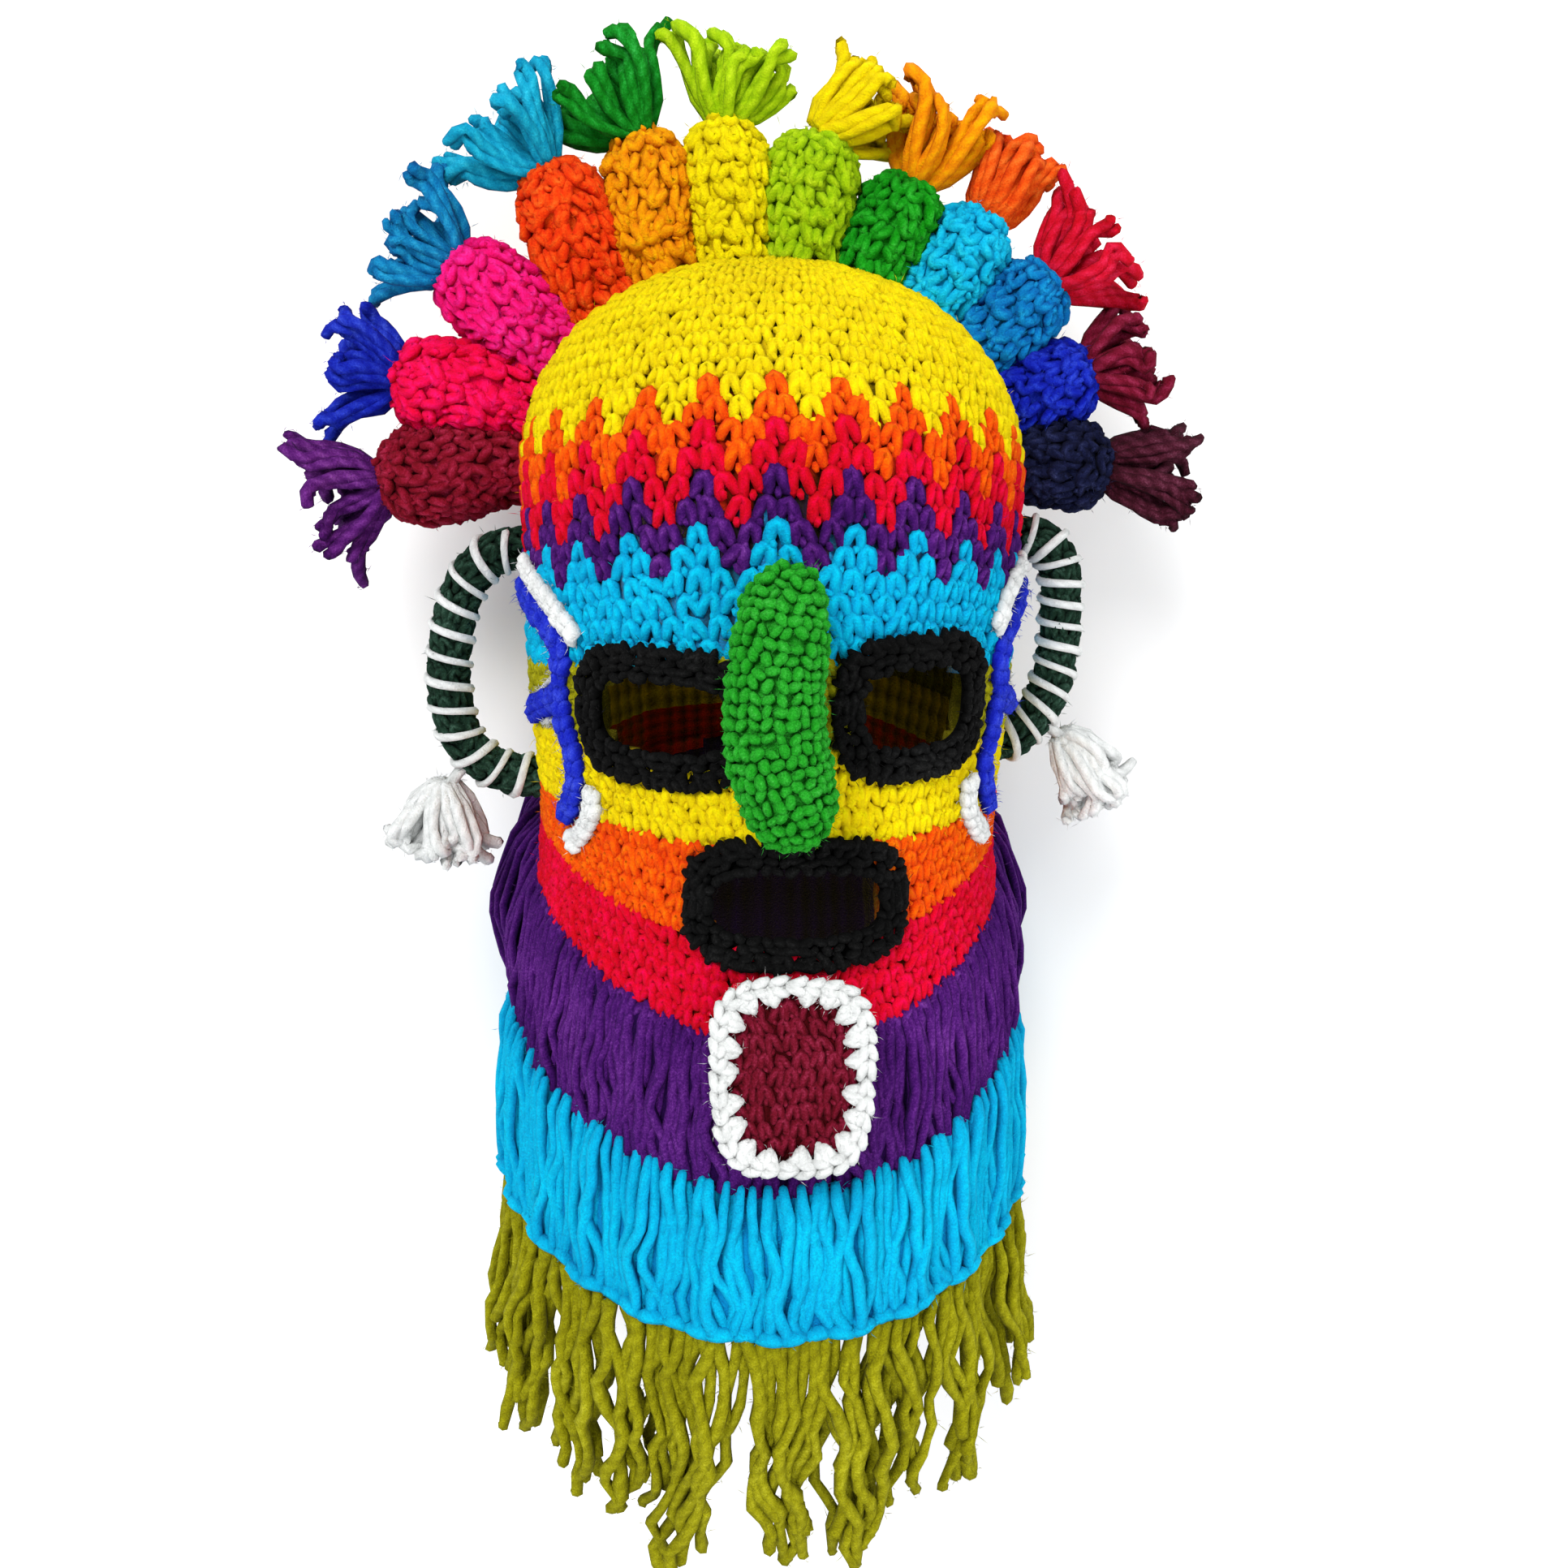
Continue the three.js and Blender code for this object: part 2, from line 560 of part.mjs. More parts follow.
// A band of yarn loops round the hood, fluted like the loops, from one line down to another
function makeLoops(top, bottom, puff) {
  const columns = LOOP_FLUTES * 2;
  const rings = [[], [], [], [], []];
  for (let k = 0; k < columns; k += 1) {
    const angle = (2 * Math.PI * k) / columns;
    const crest = k % 2 === 0;
    const thickness = LOOP_THICKNESS * (crest ? 1 : LOOP_VALLEY);
    const behind = smoothstep(-Math.cos(angle), -0.25, 0.3);
    const napeShare = behind * smoothstep(Math.abs(Math.sin(angle)), 0.1, 0.8);
    const swell = puff * napeShare;
    const upper = lineHeight(top, angle) - GAP + (puff > 0 ? NAPE_RISE * napeShare : 0);
    const lower = lineHeight(bottom, angle) + GAP;
    const foot = lower + (crest ? 0 : 3);
    const inner = (height) => onHood(angle, height, 4 * GAP, floorUnder(height) - 4 * GAP);
    const outer = (height, lift) => onHood(angle, height, lift, Math.max(floorUnder(height) - lift, 0));
    rings[0].push(inner(upper));
    rings[1].push(outer(lerp(upper, lower, 0.15), 0.55 * thickness + 0.7 * swell));
    rings[2].push(outer(lerp(upper, lower, 0.55), thickness + swell));
    rings[3].push(outer(foot, thickness + 0.3 * swell));
    rings[4].push(inner(foot));
  }
  return loft(rings, true);
}

function lockLength(angle) {
  const c = Math.cos(angle);
  const end = c > 0 ? FRONT_LOCK_LENGTH : BACK_LOCK_LENGTH;
  return SIDE_LOCK_LENGTH + (end - SIDE_LOCK_LENGTH) * Math.abs(c) ** 1.4;
}

// The fringe: a ring under the hem with a lock of strands hanging from each of its places
function makeFringe() {
  const parts = [];
  const band = [[], [], [], []];
  const columns = FRINGE_LOCKS;
  for (let k = 0; k < columns; k += 1) {
    const angle = (2 * Math.PI * k) / columns;
    const hem = lineHeight(HEM, angle);
    const low = hem - 7;
    const corner = (height, lift) => {
      const point = onHood(angle, hem, lift, 1.2 + (lift < 0 ? 4.5 : 0));
      point.y = height;
      return point;
    };
    [[hem - 2 * GAP, 0.5 * LOOP_THICKNESS], [low, 0.5 * LOOP_THICKNESS], [low, -3], [hem - 2 * GAP, -3]]
      .forEach(([height, lift], i) => band[i].push(corner(height, lift)));
    const start = corner(hem - 4, 0);
    const reach = lockLength(angle) * (1 + 0.1 * Math.sin(2.4 * k));
    const sideways = 0.1 * Math.sin(angle) + 0.07 * Math.sin(1.7 * k + 1);
    const fall = radians(LOCK_DROOP) * Math.max(Math.cos(angle) * 0.5 + 0.5, 0);
    const end = start.clone().add(new THREE.Vector3(sideways * reach, -reach, -reach * Math.tan(fall)));
    end.z = Math.max(end.z, LOCK_RADIUS * (LOCK_TIP + 0.04));
    start.z = Math.max(start.z, LOCK_RADIUS);
    const middle = start.clone().lerp(end, 0.5);
    middle.z = Math.max(middle.z + reach * 0.06 * Math.max(Math.cos(angle), 0), LOCK_RADIUS);
    const spine = new THREE.QuadraticBezierCurve3(start, middle, end);
    parts.push(tube(spine, 2, 5, (t) => LOCK_RADIUS * lerp(0.85, LOCK_TIP, t ** 3)));
  }
  return join(loft(band, true), ...parts);
}

const group = new THREE.Group();

function addPiece(name, geometry, colour, roughness = 0.95) {
  const material = new THREE.MeshStandardMaterial({ color: colour, roughness, metalness: 0 });
  const mesh = new THREE.Mesh(geometry, material);
  mesh.name = name;
  group.add(mesh);
}

addPiece('hood', makeHood(), YARN.yellow);
addPiece('loops_purple', makeLoops(PURPLE_LOOPS_TOP, TURQUOISE_LOOPS_TOP, NAPE_PUFF), YARN.purple);
addPiece('loops_turquoise', makeLoops(TURQUOISE_LOOPS_TOP, HEM, 0), YARN.turquoise);
addPiece('fringe_olive', makeFringe(), YARN.olive);

const hoodRoom = makeHoodRoom();
const noseRoom = makeNose(2 * GAP);
addPiece('nose', makeNose(), YARN.green);
addPiece('eye_rim_left', cut(makeRim(EYE_LEFT), noseRoom), YARN.black);
addPiece('eye_rim_right', cut(makeRim(EYE_RIGHT), noseRoom), YARN.black);
addPiece('mouth_rim', cut(makeRim(MOUTH, 20), noseRoom), YARN.black);
addPiece('tongue', makeTongue(), YARN.darkRed);
addPiece('tongue_edge', makeTongueEdge(), YARN.white);

HORNS.forEach(({ colour, tassel: tasselColour }, number) => {
  const label = String(number + 1).padStart(2, '0');
  const horn = makeHorn(number);
  addPiece(`horn_${label}`, number > 0 ? cut(horn, makeHorn(number - 1, GAP)) : horn, colour);
  const neighbours = [];
  if (number > 0) neighbours.push(makeTassel(number - 1, GAP), makeHorn(number - 1, GAP));
  if (number < HORNS.length - 1) neighbours.push(makeHorn(number + 1, GAP));
  addPiece(`tassel_${label}`, cut(makeTassel(number), ...neighbours), tasselColour);
});

addPiece('ear_tassel_left', makeEarTassel(EAR_TASSEL_LEFT), YARN.white);
addPiece('ear_tassel_right', makeEarTassel(EAR_TASSEL_RIGHT), YARN.white);
addPiece('cheek_cord_blue_left', makeCheekCord(BLUE_LEFT, BLUE_LEFT_BRANCH), YARN.blue);
addPiece('cheek_cord_blue_right', makeCheekCord(BLUE_RIGHT, BLUE_RIGHT_BRANCH), YARN.blue);
addPiece('cheek_cord_white_upper_left', makeCheekCord(WHITE_UPPER_LEFT), YARN.white);
addPiece('cheek_cord_white_lower_left', makeCheekCord(WHITE_LOWER_LEFT), YARN.white);
addPiece('cheek_cord_white_upper_right', makeCheekCord(WHITE_UPPER_RIGHT), YARN.white);
addPiece('cheek_cord_white_lower_right', makeCheekCord(WHITE_LOWER_RIGHT), YARN.white);
for (const [side, points] of [['left', EAR_LEFT], ['right', EAR_RIGHT]]) {
  addPiece(`ear_${side}`, cut(makeEar(points), hoodRoom), YARN.darkGreen);
  addPiece(`ear_wrap_${side}`, makeEarWrap(points), YARN.white);
}

// The group is set with the middle of its foot at the origin
const box = new THREE.Box3().setFromObject(group);
const middle = box.getCenter(new THREE.Vector3());
group.position.set(-middle.x, -middle.y, -box.min.z);

export default group;
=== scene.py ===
import math

import bmesh
import bpy
import numpy as np
from bpy.props import FloatProperty, FloatVectorProperty, IntProperty, PointerProperty
from mathutils import Matrix, Vector


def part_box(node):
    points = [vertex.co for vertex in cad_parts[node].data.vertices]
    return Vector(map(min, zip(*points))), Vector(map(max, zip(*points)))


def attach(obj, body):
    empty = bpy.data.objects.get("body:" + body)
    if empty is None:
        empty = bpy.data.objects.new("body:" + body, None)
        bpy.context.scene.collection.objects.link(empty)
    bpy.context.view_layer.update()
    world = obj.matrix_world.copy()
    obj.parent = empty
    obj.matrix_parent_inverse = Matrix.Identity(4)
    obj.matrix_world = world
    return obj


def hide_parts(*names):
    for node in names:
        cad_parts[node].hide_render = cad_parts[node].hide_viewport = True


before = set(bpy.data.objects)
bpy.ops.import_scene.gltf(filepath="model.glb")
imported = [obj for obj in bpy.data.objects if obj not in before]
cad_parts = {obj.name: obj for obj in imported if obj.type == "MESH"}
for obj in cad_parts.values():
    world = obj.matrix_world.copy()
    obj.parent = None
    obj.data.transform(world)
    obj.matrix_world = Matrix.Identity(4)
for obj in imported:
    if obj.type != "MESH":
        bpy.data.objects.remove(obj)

bl_info = {
    "name": "Crocheted Devil Dance Mask",
    "version": (1, 0, 0),
    "blender": (4, 5, 0),
    "location": "View3D > Sidebar > Dance Mask",
    "description": "Yarn, stitches, horns, tassels, collar and fringe of a crocheted dance mask",
    "category": "Add Mesh",
}

# The mask's own millimetres are used up to the mesh: X to the right as the face is seen, Y up to
# the crown, Z out of the face. Angles go round the head from the middle of the face.
MM = 0.001
CIRCLE = 2 * math.pi
HALF_WIDTHS = [[-155, 88.5], [-100, 87], [-54, 82], [-10, 76], [40, 79.5], [104, 81.5]]
FRONT_DEPTHS = [[-155, 102], [-100, 97.5], [-54, 97], [-10, 96.5], [40, 95], [104, 93]]
BACK_DEPTH = 108.0
AXIS_ABOVE_FLOOR = 98.0
FLOOR_CLEARANCE = 0.05
DOME_START = 104.0
CROWN_HEIGHT = 174.0
CROWN_SET_BACK = 16.0
DOME_SQUARENESS = 2.15
COLLAR_LIFT = 7.0
NAPE_RISE = 24.0

# Lines between the yarn colours: heights at the front, at the sides and at the back, the number of
# crocheted rounds up to the next line, and their yarn
HEM = (-150, -134, -146)
TURQUOISE_LOOPS_TOP = (-104, -76, -86)
PURPLE_LOOPS_TOP = (-57, -27, 2)
LINES = [
    (HEM, 7, "turquoise"),
    (TURQUOISE_LOOPS_TOP, 7, "purple"),
    (PURPLE_LOOPS_TOP, 5, "red"),
    ((-28, -9, 6), 5, "orange"),
    ((2, 5, 16), 5, "yellow"),
    ((30, 26, 34), 5, "olive"),
    ((56, 45, 52), 6, "turquoise"),
    ((95, 80, 84), 2, "purple"),
    ((110, 93, 96), 2, "red"),
    ((123, 109, 108), 2, "orange"),
    ((135, 120, 120), 15, "yellow"),
]
FIRST_ZIGZAG = 6
LINE_HEIGHTS = np.array([line for line, _, _ in LINES], float)
LINE_ROWS = np.concatenate([[0], np.cumsum([rows for _, rows, _ in LINES])])
COLLAR_ROW, EYE_ROW, DOME_ROW, CROWN_ROW = (int(LINE_ROWS[i]) for i in (2, 5, -2, -1))
STITCHES_ROUND = 81
LOWER_STITCHES_ROUND = 91
DOME_STITCH = 6.1
FABRIC_THICKNESS = 4.2
FABRIC_RIPPLE = 0.8
PEAK_ANGLE = math.radians(-5.8)
FACE_STRETCH = 0.24

# Holes: centre angle in degrees, centre height, half sizes
EYE_LEFT = (-27.6, 37.5, 18.0, 14.8)
EYE_RIGHT = (28.6, 40.8, 16.6, 15.9)
MOUTH = (2.4, -15.2, 21.6, 14.2)
HOLES = {"eye_rim_left": EYE_LEFT, "eye_rim_right": EYE_RIGHT, "mouth_rim": MOUTH}
RIM_WIDTH = 8.6
RIM_STITCH = 8.4
HOLE_SQUARENESS = 3.2
DEGREES_PER_MM = 0.62

# Nose: places across and up its middle line
NOSE_LINE = [(-1.5, 83.5), (-4, 65), (-5.7, 45), (-4, 28), (3.2, 7.5)]
NOSE_RADIUS = 13.0
NOSE_DROP = 5.0
NOSE_CLEARANCE = 1.8

# Horns from the left of the face to the right: length, turn, radius, and the tassel's lean, reach,
# spread and curl
FAN_START = 178.0
FAN_STEP = -15.75
FAN_SET_BACK = 8.0
HORN_FOOT_RADIUS = 12.2
HORN_FOOT_DEPTH = 5.0
TASSEL_NECK = 5.5
HORNS = [
    (44, 9, 16, 11, 22, 30, 0.0),
    (43, 8, 15, -5, 22, 26, 0.1),
    (42, -4, 15.4, 0, 22, 25, 0.5),
    (44, -17, 14.8, 19, 25, 28, 0.4),
    (41, -15, 14.4, 25, 23, 29, 0.3),
    (39, -5, 14.2, -20, 25, 23, 0.6),
    (35, 0, 15, -58, 28, 18, 0.8),
    (30, -6, 13.8, 7, 34, 19, 0.9),
    (32, 4, 13.8, 0, 29, 13, 0.6),
    (33, 6, 13.8, -4, 22, 26, 0.0),
    (29, 0, 14, -7, 24, 21, 0.7),
    (29, -6, 14.6, -5, 30, 21, 0.0),
]
HORN_CODES = [
    (0x90102A, 0x5A1A70),
    (0xFF0450, 0x1628B4),
    (0xFF1480, 0x0A78B4),
    (0xFF4A0A, 0x12A8D0),
    (0xFFA200, 0x0A8018),
    (0xFFEA00, 0xAED80A),
    (0xACD40A, 0xFFE400),
    (0x159A15, 0xFF9A00),
    (0x10C8F4, 0xF85A10),
    (0x067EC6, 0xD80C2C),
    (0x1226B8, 0x78102C),
    (0x14193C, 0x401020),
]

# Tongue: centre, half sizes, squareness, narrowing, tilt, number of links and teeth in its edging,
# and the width and height of its stitches
TONGUE_CENTRE = (1.6, -64.8)
TONGUE_HALF = (24.5, 29.8)
TONGUE_SQUARENESS = 3.6
TONGUE_TAPER = 0.06
TONGUE_TILT = math.radians(7.6)
TONGUE_LINKS = 34
TONGUE_TEETH = 19
TONGUE_STITCH = (4.9, 5.0)

# Stuffed pieces: the depth of the filling and its number of sides, then the height of the rounds,
# a stitch's width and its yarn's radius
NOSE_FILLING = (1.8, 20)
HORN_FILLING = (1.9, 16)
EAR_FILLING = (1.4, 16)
NOSE_ROUNDS = (3.5, 3.7, 1.5)
HORN_ROUNDS = (5.7, 6.0, 1.85)
EAR_ROUNDS = (4.8, 5.0, 1.4)

# Ears: points of the middle line, and the tassels' knots, ways, lengths and spreads
EAR_RADIUS = 6.5
EAR_FORWARD = 5.0
EARS = {
    "left": [
        (-84, 80), (-94, 76), (-102, 64), (-106, 47), (-106, 28), (-101, 14), (-91, 6), (-80, 4),
    ],
    "right": [(84, 86), (92, 84), (97.4, 75), (98.4, 60), (97.8, 44), (93, 28), (82.5, 17)],
}
WRAP_TURNS = 13
EAR_TASSELS = {
    "left": ((-109, 2), (-0.04, -1), 29, 17),
    "right": ((101, 19), (0.6, -0.8), 33, 12.5),
}

# Cheek lines: places in degrees round the head and millimetres up it, and a degree's width there
MM_PER_DEGREE = 1.45
BLUE_LINES = {
    "left": [
        [
            (-78, 69), (-62, 61), (-55, 53), (-55.5, 42), (-54.5, 30), (-52, 20), (-53, 11),
            (-58, 0),
        ],
        [(-55.5, 39), (-63, 35), (-74, 29)],
    ],
    "right": [
        [(80, 71), (65, 63), (57, 53), (57, 42), (55, 30), (53, 20), (56, 11), (60, 3)],
        [(57, 42), (64, 37), (71, 34)],
    ],
}
WHITE_LINES = {
    "upper_left": [(-76, 76.5), (-62, 69), (-49, 57)],
    "lower_left": [(-46.5, 12.5), (-47.5, 5.5), (-51, -2), (-56, -8)],
    "upper_right": [(76, 79), (62, 73), (53.5, 60.5)],
    "lower_right": [(46.5, 16), (47.5, 8), (52, 0), (58, -5)],
}

# Loose fibres on a piece, a lobe or a strand
FIBRES = {
    "rim lobe": 12,
    "nose": 2600,
    "horn": 360,
    "tassel strand": 8,
    "collar": 2000,
    "fringe": 4400,
    "tongue edge": 1400,
    "ear": 400,
    "blue line": 900,
    "white line": 420,
}

# Collar and fringe
LOOP_THICKNESS = 6.5
LOOP_VALLEY = 0.5
LOOP_FLUTES = 26
COLLAR_RADIUS = 95
NAPE_PUFF = 15.0
PURPLE_STRANDS = (164, 150)
TURQUOISE_STRANDS = (132, 138)
HEM_SCALLOPS = 78
FRINGE_LOCKS = 25
LOCK_RADIUS = 11.5
LOCK_WIDTH = 12.5
LOCK_TIP = 0.62
LOCK_LENGTHS = (97, 66, 74)
LOCK_DROOP = math.radians(16)

# Studio: the lamps' places, sizes and powers, in metres and watts
FLOOR_HALF_SIZE = 4
FLOOR_COLOUR = (0.93, 0.93, 0.925, 1)
AIR_COLOUR = (0.95, 0.97, 1.0, 1)
AIR_STRENGTH = 0.58
LAMP_TARGET = (0.0, 0.0, 0.1)
LAMPS = [
    ("key_light", (-0.7, 1.2, 1.6), 1.0, 36),
    ("fill_light", (1.3, 0.1, 1.2), 1.2, 11),
    ("low_light", (0.0, -1.2, 1.2), 1.2, 11),
]

# Camera: its target, distance and turns, and its focal length in the photograph's pixels
CAMERA_TARGET = (6.0, 0.0, AXIS_ABOVE_FLOOR)
CAMERA_DISTANCE = 560.0
CAMERA_TILT, CAMERA_SIDE, CAMERA_ROLL = (math.radians(a) for a in (12, 4.5, 1))
SENSOR_WIDTH = 36.0
FOCAL_LENGTH = 2000
PICTURE_WIDTH = 1932

# From the mask's own millimetres to the frame's
HOOD_LOW, HOOD_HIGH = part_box("hood")
OFFSET = np.array([(HOOD_LOW.x + HOOD_HIGH.x) / 2 / MM, HOOD_HIGH.y / MM - CROWN_HEIGHT, 0.0])


def linear(code):
    """A hexadecimal screen colour as linear red, green and blue."""
    parts = [((code >> shift) & 255) / 255 for shift in (16, 8, 0)]
    return tuple(p / 12.92 if p <= 0.04045 else ((p + 0.055) / 1.055) ** 2.4 for p in parts)


def yarn_colour(name, description, code):
    """A colour setting, from a screen colour."""
    return FloatVectorProperty(
        name=name, description=description, default=linear(code), subtype="COLOR", min=0, max=1
    )


def millimetres(name, description, value, low, high):
    """A length setting."""
    value, low, high = (v * MM for v in (value, low, high))
    return FloatProperty(
        name=name, description=description, default=value, min=low, max=high, subtype="DISTANCE"
    )


def number_of(name, description, value, low, high):
    """A setting that counts something."""
    return IntProperty(name=name, description=description, default=value, min=low, max=high)


class MaskColours(bpy.types.PropertyGroup):
    """The dyed yarns"""

    yellow: yarn_colour("Yellow", "Yarn of the dome and of a cheek stripe", 0xFFE400)
    orange: yarn_colour("Orange", "Yarn of the orange zigzag and stripe", 0xFF5A00)
    red: yarn_colour("Red", "Yarn of the red zigzag and stripe", 0xE8002A)
    purple: yarn_colour("Purple", "Yarn of the purple zigzag and the upper collar", 0x4B146E)
    turquoise: yarn_colour("Turquoise", "Yarn of the brow and the lower collar", 0x00BAEA)
    olive: yarn_colour("Olive", "Yarn of the eye stripe and the fringe", 0xA6A20A)
    black: yarn_colour("Black", "Yarn of the eye and mouth edgings", 0x090909)
    green: yarn_colour("Nose green", "Fuzzy yarn of the nose", 0x20AC20)
    tongue: yarn_colour("Tongue red", "Yarn of the tongue patch", 0x7A1028)
    white: yarn_colour("White", "Yarn of the tongue's edging, the ears and cheek lines", 0xF4F6F4)
    ear: yarn_colour("Ear green", "Yarn of the ear loops", 0x1F3A2C)
    blue: yarn_colour("Blue", "Yarn of the cheek lines", 0x1F2FC8)


for number, codes in enumerate(HORN_CODES, 1):
    for kind, code in zip(("horn", "tassel"), codes):
        MaskColours.__annotations__[f"{kind}_{number:02d}"] = yarn_colour(
            f"{kind.title()} {number}",
            f"Yarn of {kind} {number}, counted from the left of the face",
            code,
        )


class MaskSizes(bpy.types.PropertyGroup):
    """Thickness and number of the yarns"""

    stitch_radius: millimetres("Stitch yarn", "Radius of a stitch's fat lobes", 1.85, 1, 3)
    loop_radius: millimetres("Loop yarn", "Radius of the collar's yarn loops", 1.7, 1, 3)
    strand_radius: millimetres("Fringe yarn", "Radius of a strand of the fringe", 2.15, 1, 3)
    tassel_radius: millimetres("Tassel yarn", "Radius of a strand of a tassel", 2.1, 1, 3)
    fringe_strands: number_of("Fringe strands", "Strands round the hem", 225, 40, 400)
    tassel_strands: number_of("Tassel strands", "Strands in each horn's tassel", 36, 6, 80)


def sizes():
    """The settings of thickness and number."""
    return bpy.context.scene.mask_sizes


def colours():
    """The settings of the dyes."""
    return bpy.context.scene.mask_colours


# Form of the hood


def matched(*values):
    """The values as arrays of one shape."""
    return np.broadcast_arrays(*np.atleast_1d(*values))


def running_sum(values):
    """The sum of the values before each one, and of them all."""
    return np.concatenate([[0], np.cumsum(values)])


def smooth_along(stations, height):
    """Value at each height on a smooth curve through the stations."""
    x, v = np.array(stations, float).T
    y = np.clip(height, x[0], x[-1])
    i = np.clip(np.searchsorted(x, y, "left") - 1, 0, len(x) - 2)
    slopes = np.gradient(v, x, edge_order=1)
    slopes[1:-1] = (v[2:] - v[:-2]) / (x[2:] - x[:-2])
    span = x[i + 1] - x[i]
    t = (y - x[i]) / span
    rise = v[i + 1] - v[i]
    bend = (slopes[i] * (1 - t) - slopes[i + 1] * t) * span - rise * (1 - 2 * t)
    return v[i] + rise * t + bend * t * (1 - t)


def line_height(line, angle):
    """Height of a line round the mask, given at the front, at the sides and at the back."""
    c = np.cos(angle)
    return line[1] + (np.where(c > 0, line[0], line[2]) - line[1]) * c * c


def smooth_step(value, low, high):
    """0 below low and 1 above high, with a soft way between them."""
    t = np.clip((value - low) / (high - low), 0, 1)
    return t * t * (3 - 2 * t)


def floor_under(height):
    """How far the back of the hood is raised off the floor, to leave room for the collar."""
    return COLLAR_LIFT * smooth_step(PURPLE_LOOPS_TOP[2] - height, -NAPE_RISE - 24, -NAPE_RISE - 4)


def hood_point(angle, height, lift, thickness=2.9):
    """A point of the hood's surface, lifted off it; the back rests on the floor."""
    angle, height, lift = matched(angle, height, lift)
    c = np.cos(angle)
    up = np.clip((height - DOME_START) / (CROWN_HEIGHT - DOME_START), 0, 1)
    shrink = (1 - up**DOME_SQUARENESS) ** (1 / DOME_SQUARENESS)
    y = np.where(up > 0, DOME_START + (CROWN_HEIGHT - DOME_START + lift) * up, height)
    depth = np.where(c > 0, smooth_along(FRONT_DEPTHS, height), BACK_DEPTH)
    x = (smooth_along(HALF_WIDTHS, height) + lift) * shrink * np.sin(angle)
    z = AXIS_ABOVE_FLOOR - CROWN_SET_BACK * up * up + (depth + lift) * shrink * c
    return np.stack([x, y, np.maximum(z, floor_under(height) + thickness - lift)], -1)


def row_height(row, angle):
    """Height of a place between the crocheted rounds, counted from the hem."""
    row, angle = matched(row, angle)
    heights = np.stack([line_height(line, angle) for line in LINE_HEIGHTS])
    i = np.clip(np.searchsorted(LINE_ROWS, row, "right") - 1, 0, len(LINES) - 2)
    low = np.take_along_axis(heights, i[None], 0)[0]
    high = np.take_along_axis(heights, i[None] + 1, 0)[0]
    share = (row - LINE_ROWS[i]) / (LINE_ROWS[i + 1] - LINE_ROWS[i])
    rise = CROWN_HEIGHT - DOME_START
    start = np.arcsin((heights[-1] - DOME_START) / rise)
    way = np.clip((row - DOME_ROW) / (CROWN_ROW - DOME_ROW), 0, 1)
    dome = DOME_START + rise * np.sin(start + (math.pi / 2 - start) * way)
    return np.where(row > DOME_ROW, dome, low + (high - low) * share)


def stitch_angle(share, row):
    """Angle of a stitch by its share of a round; the stitches are stretched over the face."""
    way = np.linspace(-math.pi, math.pi, 361)
    bell = np.exp(-((way / 0.55) ** 2))
    walk = running_sum((bell[1:] + bell[:-1]) / 2 * np.diff(way))
    extra = walk - walk[-1] * (way + math.pi) / CIRCLE
    plain = (np.asarray(share) * CIRCLE + math.pi) % CIRCLE - math.pi
    rows = [EYE_ROW - 4, EYE_ROW + 2, DOME_ROW - 7, DOME_ROW]
    stretch = FACE_STRETCH * np.interp(row, rows, [0.02, 0.9, 1, 0.16])
    return PEAK_ANGLE + plain + stretch * np.interp(plain, way, extra)


def on_hood(turn, row, lift):
    """A place on the hood by angle, crocheted round and lift."""
    return hood_point(turn, row_height(row, turn), lift)


def square_reach(across, up, squareness):
    """Below 1 inside a rounded square of half size 1, 1 on its outline, more outside."""
    return (np.abs(across) ** squareness + np.abs(up) ** squareness) ** (1 / squareness)


def square_place(turn, squareness):
    """Distances across and up of a place on a rounded square's outline."""
    return [np.sign(v) * np.abs(v) ** (2 / squareness) for v in (np.cos(turn), np.sin(turn))]


def hole_reach(hole, angle, height, grow):
    """Below 1 inside a hole, 1 on its outline, more outside."""
    centre, middle, half_angle, half_height = hole
    across = (np.degrees(angle) - centre) / (half_angle + grow * DEGREES_PER_MM)
    return square_reach(across, (height - middle) / (half_height + grow), HOLE_SQUARENESS)


def hole_place(hole, turn, grow):
    """Angle and height of a place on a hole's outline."""
    centre, middle, half_angle, half_height = hole
    across, up = square_place(turn, HOLE_SQUARENESS)
    angle = centre + (half_angle + grow * DEGREES_PER_MM) * across
    return np.radians(angle), middle + (half_height + grow) * up


def clear_of_holes(turn, row, grow):
    """Whether places on the hood lie outside its holes, each grown by so many millimetres."""
    height = row_height(row, turn)
    angle = np.angle(np.exp(1j * turn))
    inside = [hole_reach(hole, angle, height, grow) < 1 for hole in HOLES.values()]
    return ~((np.cos(turn) > 0) & np.any(inside, axis=0))


# Curves and bent tubes


def unit(v):
    """Arrows of length 1."""
    return v / np.maximum(np.linalg.norm(v, axis=-1, keepdims=True), 1e-9)


def walked(points):
    """Distance along a line at each of its points."""
    return running_sum(np.linalg.norm(np.diff(points, axis=0), axis=1))


def spread_evenly(points, count):
    """The same line, with points at even distances along it."""
    along = walked(points)
    want = np.linspace(0, along[-1], count)
    return np.stack([np.interp(want, along, points[:, k]) for k in range(3)], -1)


